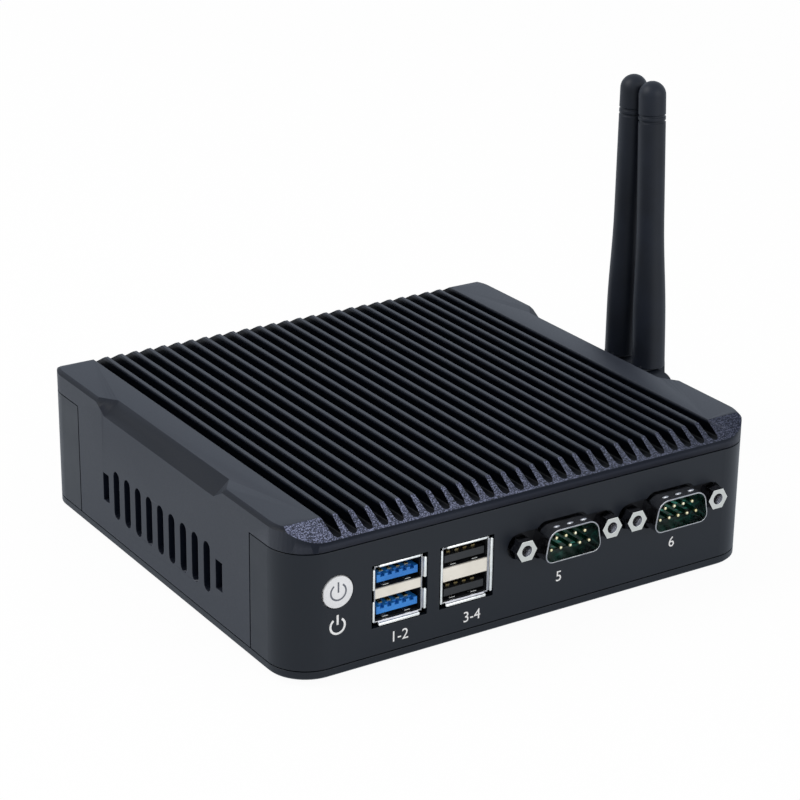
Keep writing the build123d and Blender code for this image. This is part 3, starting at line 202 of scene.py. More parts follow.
def powder_coated_aluminium(coat):
    """Cast aluminium under a black textured powder coat: matte, with painted glints in its grains on the fins' ends,
    which thin out towards the right as a painted falloff of the light, and painted highlights along its edges.

    Between the fins the coat is smoother, and painted shade makes it nearly black; painted shade also makes the
    slopes of the side edges darker and less glossy.
    """
    material, tree, place = start_material("powder_coated_aluminium")
    base = coat.cover_colour
    fine = grain(tree, place, 0.35, 3.0, 0.6)
    coarse = grain(tree, place, coat.sparkle_grain, 1.0, 0.6)
    x, _, z = axes(tree, place)
    normal_x, normal_y, normal_z = axes(tree, true_normal(tree))
    sideways, endways, reach = (calculate(tree, "ABSOLUTE", value) for value in (normal_x, normal_y, x))
    upward = window(tree, normal_z, 0.2, 0.4)
    among_fins = window(tree, reach, FIELD_HALF + 0.4 * MM, FIELD_HALF)
    along_fins = window(tree, endways, 0.45, 0.3)
    above_strip = window(tree, z, 33.0 * MM, 33.5 * MM)
    above_edge = window(tree, z, 33.2 * MM, 33.6 * MM)
    near_roots = window(tree, z, 35.4 * MM, 34.9 * MM)
    below_tops = window(tree, z, 37.3 * MM, 36.6 * MM)
    # Slopes at the ends of the fins, slopes along the side edges, and walls and roots between the fins
    on_slope = product(
        tree, window(tree, endways, 0.3, 0.45), upward, window(tree, sideways, 0.3, 0.1), above_strip)
    on_edge = product(tree, window(tree, sideways, 0.3, 0.45), upward)
    on_wall = product(
        tree, below_tops, window(tree, normal_z, 0.84, 0.8), among_fins, above_edge, along_fins)
    on_root = product(tree, near_roots, along_fins, window(tree, normal_z, 0.3, 0.6), among_fins)
    between = calculate(tree, "MAXIMUM", on_wall, on_root)
    # Painted glints: bright grains laid into the colour of the slopes at the fins' ends
    glint = ramp(tree, coarse, [(0.38, "#0f111b"), (0.5, "#30344a"), (0.63, "#7f849f")])
    # The painted glints thin out towards the right, a painted falloff of the light
    painted_falloff = spread(tree, window(tree, x, -60 * MM, 60 * MM), 1.0, 0.3)
    cloud = grain(tree, place, 30.0)
    colour = blend(tree, cloud, scaled(base, 0.88, 0.88, 0.88), scaled(base, 1.12, 1.12, 1.12))
    for factor, over in (
        # Painted highlights: pale lines along the edges of the fins
        (product(tree, highlit_edges(tree, 0.3), 0.35), linear("#4a4d58")),
        (product(tree, on_slope, painted_falloff), glint),
        # Painted shade: the slopes along the side edges are blended half way to black
        (product(tree, on_edge, 0.5), BLACK),
        # Painted shade: the walls and roots between the fins are blended nearly to black
        (product(tree, between, 0.85), BLACK),
    ):
        colour = blend(tree, factor, colour, over)
    matte = spread(tree, fine, 0.42, 0.58)
    rough = add_node(tree, "ShaderNodeMix", {"Factor": between, "A": matte, "B": 0.3}, data_type="FLOAT")
    # Painted shade through a lower specular level: the strip over the front, the slopes along the side edges and the
    # walls between the fins lose gloss, and the fins' ends lose gloss towards the right as a painted falloff of the
    # light
    painted_shade_dullness = product(tree, on_edge, 0.62)
    for other in (
        product(tree, between, 0.85),
        product(tree, window(tree, endways, 0.35, 1.0), 0.75),
        product(tree, on_slope, window(tree, x, 20 * MM, 66 * MM), 0.75),
    ):
        painted_shade_dullness = calculate(tree, "MAXIMUM", painted_shade_dullness, other)
    feed(tree, tree.nodes["Principled BSDF"].inputs["Specular IOR Level"], spread(tree, painted_shade_dullness, 0.5, 0.0))
    relief = bump(tree, fine, 0.02, 0.25, soft_edges(tree, 0.2))
    return finish_material(
        material, colour, rough.outputs["Result"], bump(tree, coarse, 0.08, on_slope, relief))


def satin_panel_paint(coat):
    """Sheet aluminium under a smooth satin black paint: low orange peel and a soft sheen."""
    material, tree, place = start_material("satin_panel_paint", Specular_IOR_Level=0.34)
    base, cloud = coat.panel_colour, grain(tree, place, 40.0)
    return finish_material(
        material, blend(tree, cloud, scaled(base, 0.9, 0.9, 0.9), scaled(base, 1.12, 1.12, 1.14)),
        spread(tree, grain(tree, place, 6.0), 0.36, 0.46),
        bump(tree, grain(tree, place, 0.9), 0.02, 0.25, soft_edges(tree, 0.25)))


def tinned_steel():
    """Thin drawn steel with a bright tin plate: mirror-like, with faint drawing lines and painted highlights along
    its edges.
    """
    material, tree, place = start_material("tinned_steel", Metallic=1.0)
    stretched = add_node(tree, "ShaderNodeMapping", {"Vector": place, "Scale": (1.0, 12.0, 1.0)})
    lines = grain(tree, stretched.outputs["Vector"], 1.5, 4.0)
    sheet = ramp(tree, lines, [(0.3, "#84838a"), (0.7, "#b4b3b2")])
    # Painted highlights: the edges are blended to near white
    return finish_material(
        material, blend(tree, highlit_edges(tree, 0.15), sheet, linear("#f6f4ec")),
        spread(tree, lines, 0.14, 0.3), bump(tree, lines, 0.01, 0.3, soft_edges(tree, 0.08)))


def nickel_plated_steel(edge_mm=0.22):
    """Turned and plated steel, as screws have: ends that look front or back painted brighter than the darker flanks,
    and painted highlights along the edges.
    """
    material, tree, place = start_material("nickel_plated_steel", Metallic=1.0)
    marks = grain(tree, place, 0.3, 3.0)
    flank = ramp(tree, marks, [(0.3, "#55545a"), (0.7, "#8a888c")])
    endways = calculate(tree, "ABSOLUTE", axes(tree, true_normal(tree))[1])
    # Painted light: faces looking front or back are blended to a bright colour, while the flanks keep the darker one
    painted_bright_ends = blend(tree, window(tree, endways, 0.85, 0.95), flank, linear("#d3d1c8"))
    # Painted highlights: the edges are blended to near white
    return finish_material(
        material, blend(tree, highlit_edges(tree, edge_mm), painted_bright_ends, linear("#fffdf4")),
        spread(tree, marks, 0.14, 0.26), bump(tree, marks, 0.005, 0.2, soft_edges(tree, 0.08)))


def gilt_pins(tip_y):
    """Gold-flashed pins: pale domed tips, and shafts painted with a reflection of the green moulding round them."""
    material, tree, place = start_material("gilt_pins", Metallic=1.0)
    tarnish = grain(tree, place, 1.2, 3.0)
    gold = ramp(tree, tarnish, [(0.35, "#ead9a0"), (0.65, "#fbf2cf")])
    # Painted reflection: deeper than the tips, the shafts turn to the green of the moulding
    painted_green_reflection = window(tree, axes(tree, place)[1], tip_y + 0.25 * MM, tip_y + 0.9 * MM)
    return finish_material(
        material, blend(tree, painted_green_reflection, gold, linear("#2a6b57")), spread(tree, tarnish, 0.2, 0.36))


def clouded(name, grain_mm, detail, stops, rough, relief=None, **inputs):
    """A finish whose colour and roughness follow one grain, and its (depth, strength, edge) relief too."""
    material, tree, place = start_material(name, **inputs)
    cloud = grain(tree, place, grain_mm, detail)
    normal = bump(tree, cloud, *relief[:2], soft_edges(tree, relief[2])) if relief else None
    return finish_material(material, ramp(tree, cloud, stops), spread(tree, cloud, *rough), normal)


def rolled_tin():
    """The polished roll of a tinned lip: nearly white, with fine lines along it."""
    return clouded("rolled_tin", 0.8, 3.0, [(0.3, "#efede4"), (0.7, "#fffef8")], (0.25, 0.4), Metallic=1.0)


def gold_flash():
    """A thin gold flash over nickel: pale, with slight tarnish."""
    return clouded("gold_flash", 1.2, 3.0, [(0.35, "#d9b96a"), (0.65, "#f1e0ae")], (0.2, 0.38), Metallic=1.0)


def painted_shade_steel():
    """Sheet steel made dark as painted shade: a slightly glossy skin with a faint cloud."""
    return clouded(
        "painted_shade_steel", 2.5, 3.0, [(0.3, "#0b0c0e"), (0.7, "#17181b")], (0.35, 0.5), (0.01, 0.3, 0.1),
        Specular_IOR_Level=0.3)


def printing_ink(name, colour, worn):
    """Screen-printed ink: matte and thin, with pin-prick unevenness."""
    return clouded(name, 0.25, 2.0, [(0.3, worn), (0.5, colour)], (0.5, 0.7))


def moulded(name, low, high, rough, grain_mm=0.5, edge_mm=0.12, gloss=0.5):
    """A moulded plastic: an even colour with slight flow marks, and the fine grain of its mould."""
    material, tree, place = start_material(name, IOR=1.49, Specular_IOR_Level=gloss)
    texture = grain(tree, place, grain_mm)
    return finish_material(
        material, ramp(tree, grain(tree, place, 8.0), [(0.3, low), (0.7, high)]),
        spread(tree, texture, *rough), bump(tree, texture, 0.01, 0.3, soft_edges(tree, edge_mm)))


def glass_filled_green():
    """Glass-filled dark green moulding, with thin diagonal teal streaks."""
    material, tree, place = start_material("glass_filled_green", IOR=1.55)
    turned = add_node(
        tree, "ShaderNodeMapping",
        {"Vector": place, "Rotation": (0.0, math.radians(-52), 0.0), "Scale": (1.0, 1.0, 5.0)})
    teal_streaks = grain(tree, turned.outputs["Vector"], 3.2, 3.0, 0.6)
    return finish_material(
        material, ramp(tree, teal_streaks, [(0.42, "#062a1b"), (0.55, "#0c402d"), (0.66, "#2f9480")]),
        spread(tree, teal_streaks, 0.25, 0.45))


def green_laminate():
    """Lacquered glass-fibre board, with the shadow of its copper tracks."""
    material, tree, place = start_material("green_board_laminate", IOR=1.5)
    tracks = add_node(tree, "ShaderNodeTexBrick", {
        "Vector": place, "Scale": 1 / (2.5 * MM), "Mortar Size": 0.03,
        "Color1": linear("#1c5233"), "Color2": linear("#23613d"), "Mortar": linear("#0c2517"),
    })
    return finish_material(
        material, tracks.outputs["Color"], spread(tree, grain(tree, place, 4.0), 0.3, 0.45),
        bump(tree, tracks.outputs["Fac"], 0.03, 0.4))


# Modelling helpers

def middle(node, axis):
    """The middle of a CAD node's box along an axis."""
    low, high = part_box(node)
    return (low[axis] + high[axis]) / 2


def drop_selection():
    """Leaves edit mode and selects nothing."""
    if bpy.context.object and bpy.context.object.mode != "OBJECT":
        bpy.ops.object.mode_set(mode="OBJECT")
    bpy.ops.object.select_all(action="DESELECT")


def begin(name, adder, **settings):
    """Adds an object with nothing else selected, and names it."""
    drop_selection()
    adder(**settings)
    piece = bpy.context.active_object
    piece.name = name
    return piece


def only(piece):
    """Selects one object and makes it active."""
    drop_selection()
    piece.select_set(True)
    bpy.context.view_layer.objects.active = piece


def settle(piece, placing=None):
    """Puts a piece's place, turn and scale into its mesh, at a new placing where one is given."""
    if placing:
        piece.matrix_world = placing
    only(piece)
    bpy.ops.object.transform_apply(location=True, rotation=True, scale=True)
    return piece


@contextmanager
def edit_all(piece):
    """Edit mode with everything selected."""
    only(piece)
    bpy.ops.object.mode_set(mode="EDIT")
    bpy.ops.mesh.select_all(action="SELECT")
    yield
    bpy.ops.object.mode_set(mode="OBJECT")


@contextmanager
def edit(piece, kind, test):
    """Edit mode with the faces, edges or vertices that pass the test selected."""
    only(piece)
    bpy.ops.object.mode_set(mode="EDIT")
    bpy.ops.mesh.select_mode(type=kind)
    bpy.ops.mesh.select_all(action="DESELECT")
    bpy.ops.object.mode_set(mode="OBJECT")
    mesh = piece.data
    parts, describe = {
        "FACE": (mesh.polygons, lambda face: (face.center, face.normal)),
        "EDGE": (mesh.edges, lambda line: [mesh.vertices[i].co for i in line.vertices]),
        "VERT": (mesh.vertices, lambda vertex: (vertex.co,)),
    }[kind]
    for part in parts:
        part.select = bool(test(*describe(part)))
    bpy.ops.object.mode_set(mode="EDIT")
    yield
    bpy.ops.object.mode_set(mode="OBJECT")


def extrude(x, y, z):
    """Extrudes what is selected by a shift."""
    bpy.ops.mesh.extrude_region_move(TRANSFORM_OT_translate={"value": (x, y, z)})


def stretch(x, y, z):
    """Scales what is selected about the origin."""
    bpy.ops.transform.resize(value=(x, y, z), center_override=ORIGIN)


def finish_mesh(piece, angle=30.0):
    """Merges doubles, turns the faces outwards and smooths by angle."""
    with edit_all(piece):
        bpy.ops.mesh.remove_doubles(threshold=1e-6)
        bpy.ops.mesh.normals_make_consistent(inside=False)
    bpy.ops.object.shade_smooth_by_angle(angle=math.radians(angle))
    return piece


def apply_modifier(piece, kind, **settings):
    """Adds a modifier, sets it and applies it."""
    only(piece)
    made = piece.modifiers.new(kind.title(), kind)
    for key, value in settings.items():
        setattr(made, key, value)
    bpy.ops.object.modifier_apply(modifier=made.name)
    return piece


def join(name, *pieces):
    """Joins pieces into the first, under a name."""
    only(pieces[0])
    for piece in pieces[1:]:
        piece.select_set(True)
    bpy.ops.object.join()
    pieces[0].name = name
    return pieces[0]


def repeat(piece, shifts):
    """Copies a piece to each shift, and joins the copies into one."""
    copies = []
    for shift in shifts:
        only(piece)
        bpy.ops.object.duplicate()
        copy = bpy.context.active_object
        copy.location = shift
        copies.append(settle(copy))
    name = piece.name
    bpy.data.objects.remove(piece)
    return join(name, *copies)


def cut(piece, tool, operation="DIFFERENCE"):
    """Cuts a piece with a tool, or fuses them, and removes the tool."""
    apply_modifier(piece, "BOOLEAN", object=tool, operation=operation, solver="EXACT")
    bpy.data.objects.remove(tool)
    return piece


def stack_rings(name, rings, placing=None, sides=48):
    """A turned piece, ring by ring: each ring is (radius, height) in metres along local Z."""
    radius, height = rings[0]
    piece = settle(begin(
        name, bpy.ops.mesh.primitive_circle_add,
        vertices=sides, radius=radius, fill_type="NGON", location=(0, 0, height)))
    with edit_all(piece):
        for wider, higher in rings[1:]:
            extrude(0, 0, higher - height)
            bpy.ops.transform.resize(value=(wider / radius, wider / radius, 1))
            radius, height = wider, higher
    if placing:
        settle(piece, placing)
    return finish_mesh(piece)


def block(name, low, high):
    """A box between two corners."""
    piece = begin(
        name, bpy.ops.mesh.primitive_cube_add, size=1,
        location=[(a + b) / 2 for a, b in zip(low, high)])
    piece.scale = [b - a for a, b in zip(low, high)]
    return settle(piece)


def round_bar(name, radius, start, end, placing, sides=48):
    """A plain bar between two heights along the local Z of a placing."""
    piece = begin(
        name, bpy.ops.mesh.primitive_cylinder_add, vertices=sides, radius=radius, depth=end - start,
        location=(0, 0, (start + end) / 2))
    return settle(settle(piece), placing)


def bevel_edges(piece, test, width, segments=3):
    """Rounds the edges whose two ends pass the test."""
    with edit(piece, "EDGE", test):
        bpy.ops.mesh.bevel(offset=width, segments=segments, affect="EDGES")
    return piece


def facing(point, outward):
    """A placing that lays local Z along a direction, at a point."""
    return Matrix.Translation(point) @ Vector(outward).to_track_quat("Z", "Y").to_matrix().to_4x4()


def dress(material, *nodes):
    """Gives CAD nodes their finish."""
    for node in nodes:
        for slot in NODES[node].material_slots:
            slot.material = material


def hand_over(piece, material, body, slot, *replaced):
    """Gives a piece its finish, the body it moves with and the nodes that it stands for."""
    piece.data.materials.clear()
    piece.data.materials.append(material)
    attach(piece, body)
    if replaced:
        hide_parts(*replaced)


# Settings that a user would change

class CoatSettings(bpy.types.PropertyGroup):
    cover_colour: FloatVectorProperty(
        name="Cover", description="Colour of the finned cover's powder coat", subtype="COLOR",
        size=3, min=0, max=1, default=linear("#0f141f")[:3])
    panel_colour: FloatVectorProperty(
        name="Panels", description="Colour of the panels' paint", subtype="COLOR",
        size=3, min=0, max=1, default=linear("#0a1018")[:3])
    sparkle_grain: FloatProperty(
        name="Sparkle grain", description="Size of the glinting grains, in millimetres",
        min=0.1, max=3, default=0.33)


class PortSettings(bpy.types.PropertyGroup):
    print_height: FloatProperty(
        name="Number height", description="Height of the printed port numbers", subtype="DISTANCE",
        unit="LENGTH", min=0.001, max=0.006, default=0.0027)
    print_thickness: FloatProperty(
        name="Ink thickness", description="Thickness of the printed ink", subtype="DISTANCE",
        unit="LENGTH", min=0.00001, max=0.0002, default=0.00004)
    thread_pitch: FloatProperty(
        name="Thread pitch", description="Pitch of the screws' inner threads", subtype="DISTANCE",
        unit="LENGTH", min=0.0003, max=0.001, default=0.000635)


class AntennaSettings(bpy.types.PropertyGroup):
    sides: IntProperty(
        name="Sides", description="Faces round a whip", min=16, max=128, default=64)
    groove_depth: FloatProperty(
        name="Groove depth", description="Depth of the two rings near the tip", subtype="DISTANCE",
        unit="LENGTH", min=0, max=0.001, default=0.00025)


class StageSettings(bpy.types.PropertyGroup):
    key_power: FloatProperty(
        name="Key light", description="Power of the large soft light", subtype="POWER", min=0, max=100, default=7.0)
    fill_power: FloatProperty(
        name="Fill light", description="Power of the light in front", subtype="POWER", min=0, max=100, default=4.2)
    ambient: FloatProperty(
        name="Ambient", description="Brightness of the room around", min=0, max=2, default=0.6)


# Stage

CAMERA_YAW = math.radians(33.025)
CAMERA_PITCH = math.radians(21.952)
CAMERA_ROLL = math.radians(0.813)
CAMERA_PLACE = Vector((-0.31015, -0.48068, 0.26492))
CAMERA_LENS = 109.53


class COMPUTER_OT_stage(bpy.types.Operator):
    """Floor, room light, lamps and the camera at the photograph's angle"""
    bl_idname = "computer.stage"
    bl_label = "Stage"

    def execute(self, context):
        settings = context.scene.computer_stage
        self.build_floor()
        self.light_room(context.scene, settings)
        self.place_camera(context.scene)
        return {"FINISHED"}

    def build_floor(self):
        under_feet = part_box("rubber_feet")[0][2] - 0.02 * MM
        floor = settle(begin("floor", bpy.ops.mesh.primitive_plane_add, size=8, location=(0, 0, under_feet)))
        material, tree, place = start_material("white_paper", Roughness=0.9)
        shader = tree.nodes["Principled BSDF"]
        paper = ramp(tree, grain(tree, place, 3.0), [(0.3, "#f1f1f1"), (0.7, "#f6f6f6")])
        feed(tree, shader.inputs["Base Color"], paper)
        # Seen straight, the floor is nearly all white backdrop; in a gloss it is half a slightly cool one
        rays = add_node(tree, "ShaderNodeLightPath").outputs
        mirrored = calculate(tree, "MULTIPLY", rays["Is Glossy Ray"], 0.5)
        share = calculate(tree, "MULTIPLY_ADD", rays["Is Camera Ray"], 0.96, mirrored)
        backdrop = blend(tree, rays["Is Glossy Ray"], WHITE, (0.72, 0.84, 1.0, 1.0))
        glow = add_node(tree, "ShaderNodeEmission", {"Strength": 1.0, "Color": backdrop})
        mix = add_node(
            tree, "ShaderNodeMixShader", {0: share, 1: shader.outputs["BSDF"], 2: glow.outputs["Emission"]})
        feed(tree, tree.nodes["Material Output"].inputs["Surface"], mix.outputs["Shader"])
        floor.data.materials.append(material)

    def light_room(self, scene, settings):
        world = bpy.data.worlds.new("white_room")
        world.use_nodes = True
        scene.world = world
        tree = world.node_tree
        rays = add_node(tree, "ShaderNodeLightPath").outputs
        # Straight and mirrored views meet a white backdrop, which a gloss shows a little cool
        glossy = calculate(tree, "MAXIMUM", rays["Is Glossy Ray"], rays["Is Transmission Ray"])
        seen = calculate(tree, "MAXIMUM", rays["Is Camera Ray"], glossy)
        sky = tree.nodes["Background"].inputs
        feed(tree, sky["Strength"], spread(tree, seen, settings.ambient, 1.0))
        feed(tree, sky["Color"], blend(tree, glossy, WHITE, (0.8, 0.88, 1.0, 1.0)))
        target = Vector((0, 0, 0.02))
        for name, place, size, power in (
            ("key", (-0.75, 0.35, 0.9), 0.7, settings.key_power),
            ("fill", (0.3, -1.1, 0.5), 0.8, settings.fill_power),
        ):
            lamp = begin(f"{name}_light", bpy.ops.object.light_add, type="AREA", location=place)
            lamp.data.shape = "SQUARE"
            lamp.data.size = size
            lamp.data.energy = power
            lamp.rotation_euler = (target - Vector(place)).to_track_quat("-Z", "Y").to_euler()
        scene.view_settings.view_transform = "Standard"

    def place_camera(self, scene):
        forward = Vector((
            math.sin(CAMERA_YAW) * math.cos(CAMERA_PITCH),
            math.cos(CAMERA_YAW) * math.cos(CAMERA_PITCH),
            -math.sin(CAMERA_PITCH),
        ))
        right = Vector((math.cos(CAMERA_YAW), -math.sin(CAMERA_YAW), 0))
        up = right.cross(forward)
        tilted_right = right * math.cos(CAMERA_ROLL) + up * math.sin(CAMERA_ROLL)
        tilted_up = up * math.cos(CAMERA_ROLL) - right * math.sin(CAMERA_ROLL)
        turn = Matrix((tilted_right, tilted_up, -forward)).transposed().to_4x4()
        camera = begin("camera", bpy.ops.object.camera_add)
        camera.matrix_world = Matrix.Translation(CAMERA_PLACE) @ turn
        camera.data.lens = CAMERA_LENS
        camera.data.sensor_width = 36.0
        camera.data.clip_start = 0.01
        scene.camera = camera


# Case

class COMPUTER_OT_case(bpy.types.Operator):
    """Coats on the cover, panels and plate, and finishes of the screws and feet"""
    bl_idname = "computer.case"
    bl_label = "Case"

    def execute(self, context):
        coat = context.scene.computer_coat
        panel = satin_panel_paint(coat)
        hand_over(self.recut_fins(), powder_coated_aluminium(coat), "case", "powder_coat", "heatsink_cover")
        dress(panel, "front_panel", "rear_panel", "bottom_plate")
        dress(nickel_plated_steel(), "corner_screws", "board_screws", "card_screws")
        low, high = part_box("rubber_feet")
        radius, height = 5.0 * MM, high[2] - low[2]
        foot = stack_rings("feet", [
            (radius - 0.5 * MM, -height), (radius - 0.15 * MM, 0.15 * MM - height),
            (radius, 0.5 * MM - height), (radius, 0)])
        feet = repeat(foot, [(x * 50.0 * MM, y * 46.0 * MM, 0) for x in (-1, 1) for y in (-1, 1)])
        rubber = moulded("black_foot_rubber", "#17181a", "#1f2022", (0.75, 0.9), 0.4, 0.3)
        hand_over(feet, rubber, "case", "foot_rubber", "rubber_feet")
        return {"FINISHED"}

    def recut_fins(self):
        """The cover with its slots recut to their cast section: round roots, and round-topped tapering fins."""
        cover = bpy.data.objects.new("finned_cover", NODES["heatsink_cover"].data.copy())
        bpy.context.scene.collection.objects.link(cover)
        finish_mesh(cover)
        low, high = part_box("heatsink_cover")
        top, slope_length, slope_height, inset = high[2], 5.85 * MM, 3.4 * MM, 0.05 * MM
        edge = middle("heatsink_cover", 0) + FIELD_HALF
        # The plain slots are filled with a block that follows the slopes at both ends
        filler = block(
            "filler", (-edge, low[1] + inset, top - slope_height + inset),
            (edge, high[1] - inset, top + 0.01 * MM))
        length = high[1] - low[1] - 2 * inset
        with edit(filler, "VERT", lambda v: v.z > top):
            stretch(1, (length - 2 * slope_length) / length, 1)
        cut(cover, filler, "UNION")
        pitch, count, depth = 4.155 * MM, 27, 3.1 * MM
        half_root, half_top, round_root, round_top = 1.1 * MM, 1.47 * MM, 0.85 * MM, 0.22 * MM
        width, height = half_top, top - round_top
        slot = block("slot", (-half_root, low[1] - MM, top - depth), (half_root, high[1] + MM, height))
        with edit(slot, "VERT", lambda v: v.z > top - MM):
            stretch(half_top / half_root, 1, 1)
        bevel_edges(slot, lambda a, b: max(a.z, b.z) < top - 2 * MM and abs(a.x - b.x) < 1e-6, round_root, 5)
        steps = [
            (half_top + round_top * (1 - math.cos(a)), top - round_top + round_top * math.sin(a))
            for a in [math.radians(90 * k / 4) for k in range(1, 5)]
        ]
        with edit(slot, "FACE", lambda c, n: n.z > 0.9):
            for wider, higher in steps + [(steps[-1][0] + 0.02 * MM, top + MM)]:
                extrude(0, 0, higher - height)
                stretch(wider / width, 1, 1)
                width, height = wider, higher
        finish_mesh(slot)
        slots = repeat(slot, [((k - (count - 1) / 2) * pitch, 0, 0) for k in range(count)])
        finish_mesh(cut(cover, slots), 25)
        # Large flat faces keep their flat shading beside the small rounded ones
        return apply_modifier(cover, "WEIGHTED_NORMAL", keep_sharp=True, weight=50, thresh=0.01)


# Button and print

class COMPUTER_OT_button(bpy.types.Operator):
    """The power button's cap, its grey mark and the white mark under it"""
    bl_idname = "computer.button"
    bl_label = "Power button"

    def execute(self, context):
        ink = context.scene.computer_ports.print_thickness
        low, high = (Vector(corner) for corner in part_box("power_button"))
        centre = Vector((-54.55 * MM, low.y, 21.05 * MM))
        radius, edge, stem = 3.93 * MM, 0.25 * MM, 2.0 * MM
        collar, collar_front, collar_back = radius + 0.7 * MM, -1.6 * MM, -2.2 * MM
        rings = [
            (radius - edge, 0), (radius - edge * 0.5, -edge * 0.15), (radius - edge * 0.13, -edge * 0.5),
            (radius, -edge), (radius, collar_front), (collar, collar_front),
            (collar, collar_back), (stem, collar_back), (stem, low.y - high.y),
        ]
        cap = stack_rings("power_cap", rings, facing(centre, FRONT), 64)
        with edit(cap, "FACE", lambda c, n: True):
            bpy.ops.mesh.bisect(
                plane_co=(centre.x - radius, 0, 0), plane_no=(-1, 0, 0), use_fill=True, clear_outer=True)
        pearl = moulded("pearl_white_abs", "#d9dadc", "#e6e7e9", (0.22, 0.34), 0.6, 0.1)
        hand_over(cap, pearl, "button", "button_plastic", "power_button")
        grey = printing_ink("grey_ink", "#5f626b", "#72757d")
        place = Vector((centre.x, low.y, 21.15 * MM))
        mark = power_mark("button_mark", place, 2.0 * MM, 0.42 * MM, (21.0 * MM, 23.6 * MM), ink)
        hand_over(mark, grey, "button", "button_plastic")
        white = printing_ink("white_ink", "#eeeeee", "#d6d6d6")
        place = Vector((centre.x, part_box("front_panel")[0][1], 12.5 * MM))
        mark = power_mark("panel_mark", place, 1.9 * MM, 0.55 * MM, (12.8 * MM, 15.3 * MM), ink)
        hand_over(mark, white, "case", "powder_coat")
        return {"FINISHED"}


def power_mark(name, centre, radius, stroke, bar_span, ink):
    """A ring open at the top with an upright bar through the gap, laid on the front."""
    inner, outer = radius - stroke / 2, radius + stroke / 2
    half_gap = math.radians(32)
    ring = settle(begin(name, bpy.ops.mesh.primitive_circle_add, vertices=72, radius=inner))
    with edit(ring, "VERT", lambda v: math.atan2(abs(v.x), v.y) < half_gap):
        bpy.ops.mesh.delete(type="VERT")
        bpy.ops.mesh.select_all(action="SELECT")
        bpy.ops.mesh.extrude_edges_move()
        stretch(outer / inner, outer / inner, 1)
    settle(ring, facing(centre, FRONT))
    low, high = bar_span
    bar = begin(f"{name}_bar", bpy.ops.mesh.primitive_plane_add, size=1)
    size = Matrix.Diagonal((stroke, high - low, 1, 1))
    settle(bar, facing((centre.x, centre.y, (low + high) / 2), FRONT) @ size)
    mark = finish_mesh(join(name, ring, bar))
    return apply_modifier(mark, "SOLIDIFY", thickness=ink, offset=0)


class COMPUTER_OT_numbers(bpy.types.Operator):
    """Plain printed numbers under the ports of the front panel"""
    bl_idname = "computer.numbers"
    bl_label = "Port numbers"

    def execute(self, context):
        settings = context.scene.computer_ports
        panel_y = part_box("front_panel")[0][1]
        white = printing_ink("number_ink", "#eeeeee", "#cfcfcf")
        for name, text, x, z in (
            ("number_1", "1-2", -37.9, 4.5),
            ("number_3", "3-4", -17.8, 4.2),
            ("number_5", "5", 7.2, 8.1),
            ("number_6", "6", 41.4, 8.8),
        ):
            label = begin(
                name, bpy.ops.object.text_add, location=(x * MM, panel_y, z * MM),
                rotation=(math.radians(90), 0, 0))
            label.data.body = text
            label.data.size = settings.print_height * 1.42
            label.data.align_x = "CENTER"
            label.data.extrude = settings.print_thickness / 2
            bpy.ops.object.convert(target="MESH")
            label = finish_mesh(settle(bpy.context.active_object))
            hand_over(label, white, "case", "powder_coat")
        return {"FINISHED"}


# Socket stacks

